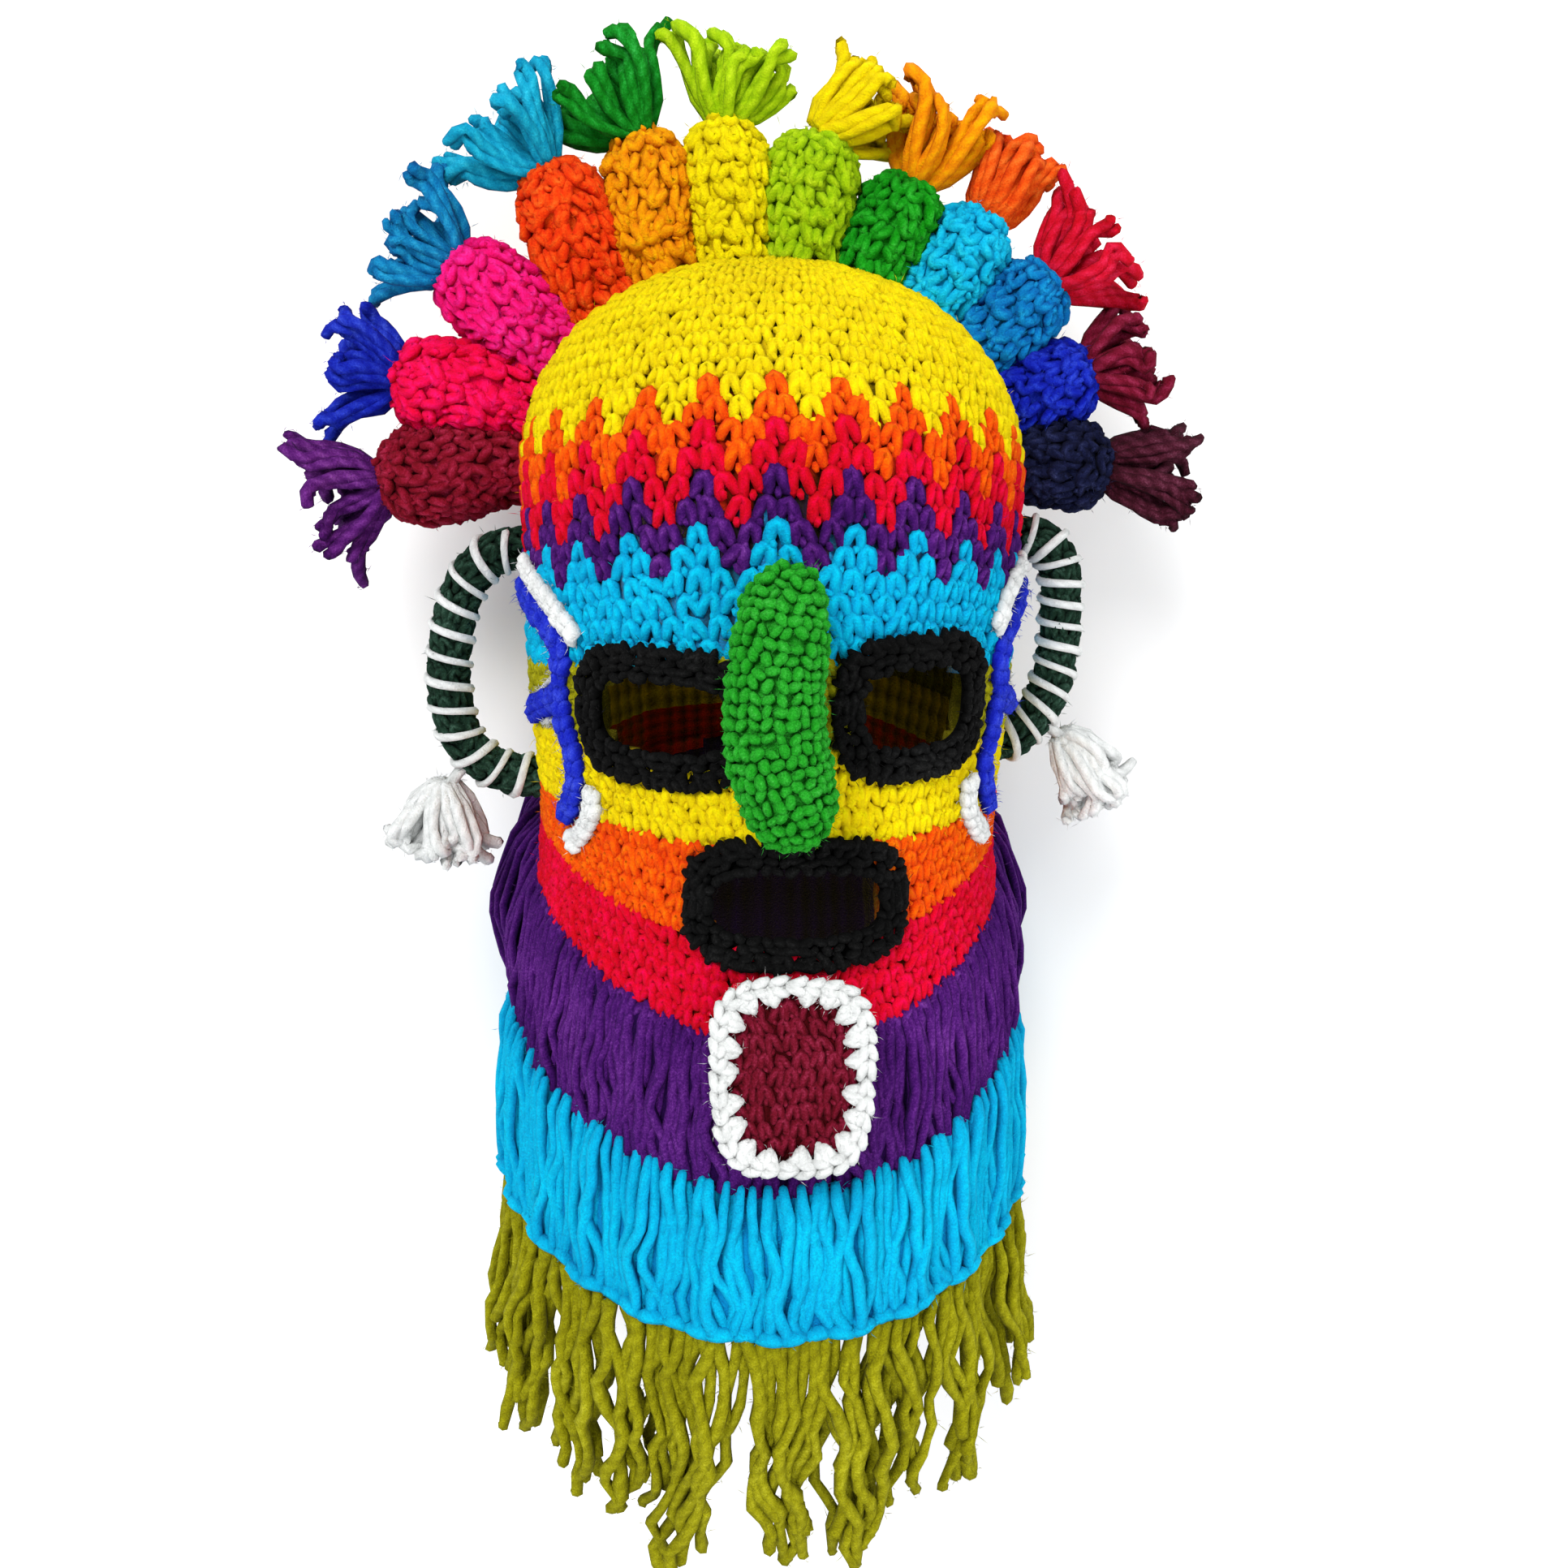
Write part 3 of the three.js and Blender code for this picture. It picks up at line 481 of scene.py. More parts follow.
def curve_through(points, count=48):
    """A smooth line through points, evenly spaced."""
    p = np.array(points, float)
    p = np.vstack([2 * p[0] - p[1], p, 2 * p[-1] - p[-2]])
    t = np.linspace(0, 1, 16)[:, None]
    line = []
    for x0, x1, x2, x3 in zip(p, p[1:], p[2:], p[3:]):
        pairs = ((x0, x1), (x1, x2), (x2, x3))
        d0, d1, d2 = (max(np.linalg.norm(b - a), 1e-6) ** 0.5 for a, b in pairs)
        t1 = ((x1 - x0) / d0 - (x2 - x0) / (d0 + d1) + (x2 - x1) / d1) * d1
        t2 = ((x2 - x1) / d1 - (x3 - x1) / (d1 + d2) + (x3 - x2) / d2) * d1
        square, cube = 3 * (x2 - x1) - 2 * t1 - t2, 2 * (x1 - x2) + t1 + t2
        line.append(x1 + t1 * t + square * t**2 + cube * t**3)
    return spread_evenly(np.vstack(line), count)


class Stem:
    """A bent round body: a middle line with a radius along it."""

    def __init__(self, line, radius):
        self.line = line
        self.share = np.linspace(0, 1, len(line))
        self.length = np.linalg.norm(np.diff(line, axis=0), axis=1).sum()
        tangent = unit(np.gradient(line, axis=0))
        forward = np.array([0.0, 0.0, 1.0])
        first = unit(forward - tangent * (tangent @ forward)[:, None])
        self.frames = [tangent, first, np.cross(tangent, first)]
        self.radius = radius

    def at(self, share, values):
        """Values of the middle line's points, read at shares of its length."""
        return np.stack([np.interp(share, self.share, values[:, k]) for k in range(3)], -1)

    def even_shares(self, rows):
        """Shares of the middle line at even distances over the body's skin, end to end."""
        share = 0.5 - 0.5 * np.cos(np.linspace(0, math.pi, 240))
        step = np.hypot(np.diff(share) * self.length, np.diff(self.radius(share)))
        along = running_sum(step)
        return np.interp(np.asarray(rows, float), along / along[-1], share), along[-1]

    def place(self, turn, share, lift):
        """A place over the skin, square to its slope."""
        turn, share, lift = matched(turn, share, lift)
        first, second = (self.at(share, f) for f in self.frames[1:])
        step = 0.004
        slope = (self.radius(share + step) - self.radius(share - step)) / (2 * step * self.length)
        lean = np.hypot(1, slope)
        radius = (self.radius(share) + lift / lean)[..., None]
        along = (-slope * lift / lean)[..., None] * self.at(share, self.frames[0])
        return self.at(share, self.line) + along + radius * (
            np.cos(turn)[..., None] * first + np.sin(turn)[..., None] * second
        )


# Meshes


def in_frame(points):
    """Places in the frame's metres, from the mask's millimetres."""
    return (points + OFFSET) * MM


def shape_template(sides, rings):
    """Vertices, faces and UV of a ball with poles, to be drawn out into a piece of yarn."""
    bm = bmesh.new()
    bm.loops.layers.uv.verify()
    bmesh.ops.create_uvsphere(bm, u_segments=sides, v_segments=rings, radius=1, calc_uvs=True)
    bm.verts.index_update()
    uv = bm.loops.layers.uv.active
    co = np.array([v.co for v in bm.verts])
    loops = [(l.vert.index, *l[uv].uv) for f in bm.faces for l in f.loops]
    counts = np.array([len(f.verts) for f in bm.faces])
    bm.free()
    loops = np.array(loops)
    ring = np.rint(np.arccos(np.clip(co[:, 2], -1, 1)) / math.pi * rings).astype(int)
    turn = np.arctan2(co[:, 1], co[:, 0])
    return ring, turn, loops[:, 0].astype(int), loops[:, 1:], counts


def mesh_from(name, co, corners, counts, uv):
    """A smooth mesh from places in the mask's millimetres, flattened where it meets the floor."""
    mesh = bpy.data.meshes.new(name)
    co = np.concatenate([co[:, :2], np.maximum(co[:, 2:], FLOOR_CLEARANCE)], axis=1)
    mesh.vertices.add(len(co))
    mesh.vertices.foreach_set("co", in_frame(co).astype(np.float32).ravel())
    mesh.loops.add(len(corners))
    mesh.loops.foreach_set("vertex_index", corners.astype(np.int32))
    mesh.polygons.add(len(counts))
    mesh.polygons.foreach_set("loop_start", running_sum(counts)[:-1].astype(np.int32))
    mesh.update(calc_edges=True)
    mesh.polygons.foreach_set("use_smooth", np.ones(len(counts), bool))
    layer = mesh.uv_layers.new(name="UVMap")
    layer.data.foreach_set("uv", uv.astype(np.float32).ravel())
    return mesh


# What marks fibres in a piece's outward values, and the range of random phases; the mark also has
# the wool material paint the fibres paler than any yarn, as painted light.
FIBRE_MARK = 2.0
PHASES = (0, 6.28)


class Yarn:
    """Pieces of yarn gathered into one mesh."""

    def __init__(self):
        self.parts = []
        self.start = 0

    def add(self, line, up, radius, sides=6, flat=1.0, ply=0.0, pitch=7.0):
        """Adds closed pieces of yarn along lines shaped (pieces, points, 3).

        ply is how far two twisted plies stand out, and pitch the length of one twist.
        """
        line = np.asarray(line, float)
        count, points = line.shape[:2]
        ring, turn, corners, uv, counts = shape_template(sides, points - 1)
        tangent = unit(np.gradient(line, axis=1))
        side = unit(np.cross(tangent, np.broadcast_to(up, line.shape)))
        out = np.cross(side, tangent)
        radius = np.broadcast_to(radius, (count, points)).copy()
        radius[:, 0] = radius[:, -1] = 0
        spin = np.cos(turn)[None, :, None] * side[:, ring] + (
            np.sin(turn)[None, :, None] * out[:, ring] * flat
        )
        # outward: 1 where the yarn faces away from the surface under it and 0 on its hidden side,
        # nearer a middle value towards its ends; the wool material paints shade into the colour by
        # it.
        middle = 0.3 + 0.7 * np.sin(math.pi * ring / (points - 1))
        outward = np.tile(0.5 + 0.5 * np.sin(turn) * middle, count)
        steps = np.linalg.norm(np.diff(line, axis=1), axis=2)
        along = np.concatenate([np.zeros((count, 1)), np.cumsum(steps, axis=1)], axis=1)
        along += (np.arange(count) * 2.7 % 11)[:, None]
        twist = 2 * (turn / CIRCLE + 0.5 - 0.5 / sides) + along[:, ring] / pitch
        swell = 1 + ply * np.sin(CIRCLE * twist)
        co = line[:, ring] + spin * (radius[:, ring] * swell)[..., None]
        v = along[:, ring[corners]]
        u = np.broadcast_to(uv[:, 0], v.shape)
        shift = self.start + np.arange(count)[:, None] * len(ring)
        self.parts.append((
            co.reshape(-1, 3),
            (corners[None] + shift).ravel(),
            np.tile(counts, count),
            np.stack([u, v], -1).reshape(-1, 2),
            outward,
            spin.reshape(-1, 3),
        ))
        self.start += count * len(ring)

    def add_fibres(self, rng, count, length=2.6, radius=0.12):
        """Short loose fibres that stand off the yarn, told from it by their outward value, which
        also paints them paler as painted light.
        """
        parts = [part for part in self.parts if part[4].max() < FIBRE_MARK]
        co, out = (np.concatenate([part[i] for part in parts]) for i in (0, 5))
        pick = rng.integers(0, len(co), count)
        out = unit(out[pick])
        way = unit(0.7 * out + rng.normal(0, 0.5, (count, 3)))
        way = way + out * np.maximum(0.25 - (way * out).sum(-1, keepdims=True), 0)
        bend = rng.normal(0, 0.45, (count, 1, 3))
        s = np.linspace(0, 1, 3)[None, :, None]
        long = length * rng.uniform(0.4, 1, (count, 1, 1))
        line = co[pick][:, None] + long * (way[:, None] * s + bend * s * s)
        self.add(line, rng.normal(0, 1, (count, 1, 3)), radius, sides=3)
        self.parts[-1][4][:] = FIBRE_MARK

    def mesh(self, name):
        co, corners, counts, uv, outward, _ = (np.concatenate(p) for p in zip(*self.parts))
        mesh = mesh_from(name, co, corners, counts, uv)
        # The outward value steers the wool material's painted light and shade.
        attribute = mesh.attributes.new("outward", "FLOAT", "POINT")
        attribute.data.foreach_set("value", outward.astype(np.float32))
        return mesh


def in_scene(name, data):
    """A new object in the scene."""
    made = bpy.data.objects.new(name, data)
    bpy.context.scene.collection.objects.link(made)
    return made


def show(name, mesh, material, replaced=()):
    """Puts a finished mesh on the mask and hides the frame's parts that it replaces."""
    piece = in_scene(name, mesh)
    mesh.materials.append(material)
    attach(piece, "root")
    if replaced:
        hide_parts(*replaced)


def show_yarn(yarn, node, material):
    """Puts yarn on the mask in the place of a node of the frame."""
    show(f"{node}_yarn", yarn.mesh(f"{node}_yarn"), material, [node])


def finished_mesh(bm, name):
    """The mesh of a bmesh that is no longer needed."""
    mesh = bpy.data.meshes.new(name)
    bm.to_mesh(mesh)
    bm.free()
    return mesh


def sheet_mesh(name, place, columns, rows, turns, levels, lift, thickness=0.0, keep=None):
    """A grid laid on a surface, closed where its sides meet, with a wall if it has thickness."""
    bm = bmesh.new()
    bmesh.ops.create_grid(bm, x_segments=columns, y_segments=rows, size=1)
    co = np.array([v.co for v in bm.verts])
    turn = turns[0] + (turns[1] - turns[0]) * (co[:, 0] + 1) / 2
    level = levels[0] + (levels[1] - levels[0]) * (co[:, 1] + 1) / 2
    if keep is not None:
        kept = keep(turn, level)
        lost = [vert for vert, stays in zip(list(bm.verts), kept) if not stays]
        bmesh.ops.delete(bm, geom=lost, context="VERTS")
        turn, level = turn[kept], level[kept]
    for vert, p in zip(bm.verts, place(turn, level, lift)):
        vert.co = Vector(in_frame(p))
    bmesh.ops.remove_doubles(bm, verts=bm.verts, dist=0.00002)
    bmesh.ops.recalc_face_normals(bm, faces=bm.faces)
    if thickness:
        bmesh.ops.solidify(bm, geom=bm.faces, thickness=thickness * MM)
    for face in bm.faces:
        face.smooth = True
    return finished_mesh(bm, name)


# Crochet


def columns_of(*values):
    """The values, single or one for each piece, as columns of one height."""
    return [value[:, None] for value in matched(*values)]


def laid(place, turn, row, lift):
    """Lines laid on a surface, and their outward directions."""
    line = place(turn, row, lift)
    return line, unit(place(turn, row, lift + 1) - line)


def wobble(rng, count):
    """Gives a function that draws a small change for each piece."""
    return lambda share: rng.normal(0, share, (count, 1))


def lobe_lines(place, turn, row, pitch, foot, top, bulge, points=6):
    """Middle lines of fat lobes from their feet to their tops, and their outward directions.

    foot and top are places across and up in shares of a stitch, and bulge is the lift of the ends
    and of the middle.
    """
    turn, row, pitch, x0, y0, x1, y1 = columns_of(turn, row, pitch, *foot, *top)
    s = (0.5 - 0.5 * np.cos(np.linspace(0, math.pi, points)))[None]
    turn = turn + pitch * (x0 * (1 - s) + x1 * s)
    row = row + y0 * (1 - s) + y1 * s
    lift = bulge[0] + (bulge[1] - bulge[0]) * np.sin(math.pi * s) ** 0.8
    return laid(place, turn, row, np.broadcast_to(lift, turn.shape))


def lobe_radius(radius, points=6):
    """Radius along a fat lobe with round ends."""
    return np.asarray(radius)[..., None] * np.sin(np.linspace(0, math.pi, points)) ** 0.62


# A stitch from foot to foot: an arch that leans to the left, in shares of its width and height,
# and the shares of its lift and girth. A knob and a grain have places and shares of a girth.
ARCH_ACROSS = np.array([-0.37, -0.33, -0.28, -0.20, -0.05, 0.11, 0.22, 0.31, 0.40])
ARCH_UP = np.array([-0.40, -0.08, 0.34, 0.72, 0.92, 0.74, 0.36, -0.08, -0.44])
ARCH_RISE = np.array([0.0, 0.6, 0.9, 1.0, 0.92, 1.0, 0.9, 0.6, 0.0])
ARCH_GIRTH = np.array([0.0, 0.94, 1.0, 1.04, 0.98, 1.04, 1.0, 0.94, 0.0])
KNOB = np.array([-1.0, -0.45, 0.45, 1.0])
KNOB_GIRTH = [0, 0.92, 0.92, 0]
KNOB_SIZE = 0.17
GRAIN = np.array([-1.0, -0.6, 0.0, 0.6, 1.0])
GRAIN_GIRTH = [0, 0.9, 1.1, 0.9, 0]


def add_stitches(yarn, place, turn, row, pitch, radius, rng, sway, depth=(-2.2, -0.7), tall=1):
    """Crochet stitches: an arch each, and a knob that fills the notch under it."""
    turn, row, pitch, radius = columns_of(turn, row, pitch, radius)
    some = wobble(rng, len(turn))
    t = np.linspace(-1, 1, len(ARCH_UP))
    bend = 1 - t**2
    spin = some(sway * 2.2)
    wide, high = ARCH_ACROSS * (1 + some(sway)) / tall**0.5, (ARCH_UP - 0.25) * tall
    across = wide * np.cos(spin) + high * np.sin(spin) + some(sway) * bend + some(sway * 0.6)
    up = 0.25 + high * np.cos(spin) - wide * np.sin(spin) + some(sway) * bend + some(sway) * t
    lift = depth[0] + (depth[1] - depth[0]) * ARCH_RISE + some(sway * 2.5) * bend
    line, out = laid(place, turn + pitch * across, row + up, lift)
    girth = radius * (1 + some(0.07))
    yarn.add(line, out, girth * ARCH_GIRTH, sides=5)
    slant = 0.4 + some(0.5)
    turns = turn + pitch * (some(sway) + KNOB_SIZE * np.cos(slant) * KNOB)
    rows = row + some(sway) - 0.1 + KNOB_SIZE * np.sin(slant) * KNOB
    lift = np.full(rows.shape, depth[1] - 0.25) + some(sway * 3)
    line, out = laid(place, turns, rows, lift)
    yarn.add(line, out, girth * KNOB_GIRTH, sides=5)


def add_grains(yarn, place, turn, row, pitch, radius, rng, slant, length, depth):
    """Short fat lobes like grains of rice, leaning by turns to the left and to the right."""
    turn, row, pitch, radius = columns_of(turn, row, pitch, radius)
    some = wobble(rng, len(turn))
    lean = slant * (1 - 2 * (np.arange(len(turn)) % 2))[:, None] + some(0.4)
    turns = turn + pitch * (some(0.1) + length / 2 * np.sin(lean) * GRAIN)
    rows = row + some(0.1) + length / 2 * np.cos(lean) * GRAIN
    line, out = laid(place, turns, rows, depth + some(0.35) - 0.7 * GRAIN**2)
    yarn.add(line, out, radius * (1 + some(0.1)) * GRAIN_GIRTH)


# Materials


def socket(group, name, kind, way, value=None):
    """A named input or output of a node group."""
    made = group.interface.new_socket(name=name, socket_type=kind, in_out=way)
    if value is not None:
        made.default_value = value


class Wires:
    """Short names for building a node tree."""

    def __init__(self, tree):
        self.tree = tree

    def feed(self, node, inputs):
        """Sets a node's inputs to values, or wires other nodes to them."""
        for key, value in inputs.items():
            if isinstance(value, bpy.types.NodeSocket):
                self.tree.links.new(value, node.inputs[key])
            else:
                node.inputs[key].default_value = value

    def node(self, kind, inputs=None, **settings):
        node = self.tree.nodes.new(kind)
        for key, value in settings.items():
            setattr(node, key, value)
        self.feed(node, inputs or {})
        return node

    def math(self, operation, a, b=0.0):
        return self.node("ShaderNodeMath", operation=operation, inputs={0: a, 1: b}).outputs[0]


def spun_wool_group():
    """Two-ply yarn: twist along the strand, fibres, uneven dye, and painted light and shade in its
    colour.
    """
    group = bpy.data.node_groups.new("Spun wool", "ShaderNodeTree")
    socket(group, "Colour", "NodeSocketColor", "INPUT", (0.5, 0.5, 0.5, 1))
    socket(group, "Twist pitch", "NodeSocketFloat", "INPUT", 7.0)
    socket(group, "Twist depth", "NodeSocketFloat", "INPUT", 0.5)
    socket(group, "Fuzz", "NodeSocketFloat", "INPUT", 0.5)
    socket(group, "Colour", "NodeSocketColor", "OUTPUT")
    socket(group, "Height", "NodeSocketFloat", "OUTPUT")
    wires = Wires(group)
    given = wires.node("NodeGroupInput").outputs
    uv = wires.node("ShaderNodeUVMap", uv_map="UVMap").outputs[0]
    parts = wires.node("ShaderNodeSeparateXYZ", inputs={0: uv}).outputs
    place = wires.node("ShaderNodeTexCoord").outputs["Object"]
    turns = wires.math("DIVIDE", parts[1], given[1])
    turns = wires.math("ADD", wires.math("MULTIPLY", parts[0], 2.0), turns)
    ply = wires.math("SINE", wires.math("MULTIPLY", turns, CIRCLE))
    ply = wires.math("MULTIPLY", wires.math("MULTIPLY", ply, 0.5), given[2])
    fibre_place = wires.node(
        "ShaderNodeCombineXYZ",
        inputs={0: wires.math("MULTIPLY", turns, 9.0), 1: wires.math("MULTIPLY", parts[1], 0.35)},
    ).outputs[0]
    noise = "ShaderNodeTexNoise"
    settings = {"Vector": fibre_place, "Scale": 2.2, "Detail": 4.0, "Roughness": 0.7}
    fibres = wires.node(noise, inputs=settings)
    tangle = wires.node(noise, inputs={"Vector": place, "Scale": 1500.0, "Detail": 3.0})
    dye = wires.node(noise, inputs={"Vector": place, "Scale": 45.0, "Detail": 2.0})

    def above(value, middle, strength):
        return wires.math("MULTIPLY", wires.math("SUBTRACT", value, middle), strength)

    loose = above(tangle.outputs[0], 0.5, given[3])
    rough = above(fibres.outputs[0], 0.5, 1.1)
    height = wires.math("ADD", wires.math("ADD", ply, rough), loose)
    uneven = above(dye.outputs[0], 0.5, 0.5)
    # Painted light and shade: the colour is paler where the relief stands high and where the yarn
    # faces out, and deeper and darker in its grooves, on its sides and hidden back, and on sheets
    # without an outward value, which read 0. The dye noise adds real, random changes of tone.
    light = wires.math("ADD", wires.math("MULTIPLY", height, 0.5), uneven)
    outward = wires.node("ShaderNodeAttribute", attribute_name="outward").outputs["Fac"]
    outward = wires.math("MINIMUM", outward, 1.2)
    light = wires.math("ADD", light, above(outward, 0.8, 0.7))
    # shade sets a gamma that deepens and darkens the colour as painted shade; the gain after it
    # brightens the colour as painted light.
    shade = wires.math("SUBTRACT", 1.0, light)
    deep = wires.node("ShaderNodeGamma", inputs={0: given[0], 1: shade}).outputs[0]
    painted_light_gain = wires.math("ADD", wires.math("MULTIPLY", light, 0.55), 1.0)
    shaded = wires.node("ShaderNodeVectorMath", operation="SCALE", inputs={0: deep, "Scale": painted_light_gain})
    wires.node("NodeGroupOutput", inputs={0: shaded.outputs[0], 1: height})
    return group


TWIST_PITCH = 6.0
GRAIN_HEIGHT = 0.9 * MM


def wool(name, colour, twist=0.4, fuzz=1.2, bump=0.85, sheen=0.12, attribute=None):
    """A matte wool material in one dye, or in the colours of a colour attribute, with painted
    light and shade.
    """
    group = bpy.data.node_groups.get("Spun wool") or spun_wool_group()
    material = bpy.data.materials.new(name)
    material.use_nodes = True
    wires = Wires(material.node_tree)
    shader = material.node_tree.nodes["Principled BSDF"]
    dye = (*colour, 1)
    # A colour attribute, as on the hood fabric, can already hold painted shade.
    if attribute:
        dye = wires.node("ShaderNodeVertexColor", layer_name=attribute).outputs[0]
    spun = wires.node(
        "ShaderNodeGroup",
        node_tree=group,
        inputs={"Colour": dye, "Twist pitch": TWIST_PITCH, "Twist depth": twist, "Fuzz": fuzz},
    )
    settings = {"Strength": bump, "Distance": GRAIN_HEIGHT, "Height": spun.outputs[1]}
    relief = wires.node("ShaderNodeBump", inputs=settings)
    wires.feed(shader, {
        "Base Color": spun.outputs[0],
        "Normal": relief.outputs[0],
        "Roughness": 0.95,
        "Specular IOR Level": 0.08,
        "Sheen Weight": sheen,
        "Sheen Roughness": 0.6,
        "Sheen Tint": (*(0.06 + 0.94 * c for c in colour), 1),
    })
    return material


def dyed(name):
    """The material of a yarn, made when it is first asked for."""
    key = f"wool_{name}"
    return bpy.data.materials.get(key) or wool(key, getattr(colours(), name))


# Operators, one for each piece or group of like pieces


class HoodFabric(bpy.types.Operator):
    """The hood's closed inner layer, in the colours of its stripes, darkened as painted shade
    between and under the stitches
    """

    bl_idname = "dance_mask.hood_fabric"
    bl_label = "Hood fabric"

    def execute(self, context):
        mesh = sheet_mesh(
            "hood_fabric", on_hood, 2 * STITCHES_ROUND + 1, CROWN_ROW + 1,
            (PEAK_ANGLE, PEAK_ANGLE + CIRCLE), (0, CROWN_ROW), -FABRIC_THICKNESS / 2,
            FABRIC_THICKNESS, lambda turn, row: clear_of_holes(turn, row, -3.0),
        )
        co = np.zeros(len(mesh.vertices) * 3)
        mesh.vertices.foreach_get("co", co)
        co = co.reshape(-1, 3) / MM - OFFSET
        row, turn = row_at(co)
        ripple = np.cos(STITCHES_ROUND * (turn - PEAK_ANGLE))
        ripple = ripple + 0.6 * np.cos(math.pi * np.rint(row))
        co += unit(co * (1, 0, 1) - (0, 0, AXIS_ABOVE_FLOOR)) * FABRIC_RIPPLE * ripple[:, None]
        co[:, 2] = np.maximum(co[:, 2], FLOOR_CLEARANCE)
        mesh.vertices.foreach_set("co", in_frame(co).astype(np.float32).ravel())
        mesh.update()
        # The dye attribute holds the stripe colours with painted shade; having no outward value,
        # the sheet also takes the wool material's deepest painted shade.
        mesh.color_attributes.new("dye", "FLOAT_COLOR", "CORNER")
        centres = np.array([p.center for p in mesh.polygons]) / MM - OFFSET
        loop_start = np.array([p.loop_start for p in mesh.polygons])
        loop_total = np.array([p.loop_total for p in mesh.polygons])
        row, turn = row_at(centres)
        dye = stripe_colours(np.floor(row), turn)
        corner = np.repeat(np.c_[dye, np.ones(len(dye))], loop_total, axis=0)
        vertex = np.zeros(len(mesh.loops), int)
        mesh.loops.foreach_get("vertex_index", vertex)
        # Painted shade: each stripe colour scaled to between 0.2 and 1.0 of itself, darkest in the
        # troughs of the ripple.
        corner[:, :3] *= (0.6 + 0.25 * ripple[vertex])[:, None]
        if np.any(np.diff(loop_start) < 0):
            raise RuntimeError("the hood's faces are out of order")
        mesh.color_attributes["dye"].data.foreach_set("color", corner.astype(np.float32).ravel())
        fabric = wool("wool_hood_fabric", colours().yellow, attribute="dye", twist=0.0, sheen=0.2)
        show("hood_fabric", mesh, fabric, ["hood"])
        return {"FINISHED"}


def row_at(points):
    """Crocheted round and angle of places near the hood's surface."""
    x, y, z = points.T
    up = np.clip((y - DOME_START) / (CROWN_HEIGHT - DOME_START), 0, 0.999)
    dz = z - (AXIS_ABOVE_FLOOR - CROWN_SET_BACK * up * up)
    depth = np.where(dz > 0, smooth_along(FRONT_DEPTHS, y), BACK_DEPTH)
    turn = np.arctan2(x / smooth_along(HALF_WIDTHS, y), dz / depth)
    rows = np.arange(0, CROWN_ROW + 0.01, 0.5)
    heights = np.stack([row_height(np.full(len(y), r), turn) for r in rows])
    heights[-1] += 30
    above = (heights <= y[None]).sum(0) - 1
    i = np.clip(above, 0, len(rows) - 2)
    low = np.take_along_axis(heights, i[None], 0)[0]
    high = np.take_along_axis(heights, i[None] + 1, 0)[0]
    return rows[i] + 0.5 * np.clip((y - low) / (high - low), 0, 1), turn


def stitch_colour(row, number):
    """Name of the yarn of a stitch; zigzags have two new stitches in three, then one in three."""
    band = min(int(np.searchsorted(LINE_ROWS, row, "right")) - 1, len(LINES) - 1)
    above = LINE_ROWS[band + 1] - row
    if FIRST_ZIGZAG <= band < len(LINES) - 1 and above <= 2:
        new = number % 3 == 0 if above == 1 else number % 3 != 2
        return LINES[band if new else band + 1][2]
    return LINES[band][2]


def row_shift(row):
    """Every other round is shifted by half a stitch."""
    return 0.5 * (row % 2)


def stripe_colours(rows, turns):
    """Colours of the inner layer's faces, by the stitches over them."""
    found = np.zeros((len(rows), 3))
    table = {}
    shares = np.arange(STITCHES_ROUND + 1) / STITCHES_ROUND - 0.5
    angles = [stitch_angle(shares * 0.99999, row) for row in range(DOME_ROW + 1)]
    for i, (row, turn) in enumerate(zip(rows.astype(int), turns)):
        way = (turn - PEAK_ANGLE + math.pi) % CIRCLE - math.pi + PEAK_ANGLE
        share = np.interp(way, angles[min(row, DOME_ROW)], shares)
        number = int(round(share * STITCHES_ROUND - row_shift(row))) % STITCHES_ROUND
        key = (row, number % 3)
        if key not in table:
            table[key] = getattr(colours(), stitch_colour(row, number))
        found[i] = table[key]
    return found


class HoodStitches(bpy.types.Operator):
    """The hood's crochet stitches, one mesh for each yarn colour"""

    bl_idname = "dance_mask.hood_stitches"
    bl_label = "Hood stitches"

    def execute(self, context):
        rng = np.random.default_rng(11)
        found = {}
        around = np.linspace(0, CIRCLE, 90)
        for row in range(COLLAR_ROW - 1, CROWN_ROW - 1):
            count = STITCHES_ROUND if row >= EYE_ROW else LOWER_STITCHES_ROUND
            if row >= DOME_ROW:
                edge = hood_point(around, row_height(row + 0.4, around), 0)
                count = max(6, round(walked(edge)[-1] / DOME_STITCH))
            shares = (np.arange(count) + row_shift(row)) / count
            turns = stitch_angle(shares, row)
            before, after = (stitch_angle(shares + side / count, row) for side in (-0.5, 0.5))
            pitches = (after - before) % CIRCLE
            for number in range(count):
                name = stitch_colour(row, number)
                found.setdefault(name, []).append((turns[number], row, pitches[number]))
        for name, places in found.items():
            turn, row, pitch = np.array(places, float).T
            clear = clear_of_holes(turn, row + 0.4, 1.6)
            turn, row, pitch = turn[clear], row[clear], pitch[clear]
            yarn = Yarn()
            radius = sizes().stitch_radius / MM * np.where(row < DOME_ROW, 1, 0.88)
            tall = np.where(row < DOME_ROW, 0.88, 0.8)[:, None]
            add_stitches(yarn, on_hood, turn, row, pitch, radius, rng, 0.085, tall=tall)
            yarn.add_fibres(rng, len(turn))
            show(f"hood_{name}", yarn.mesh(f"hood_{name}"), dyed(name))
        return {"FINISHED"}


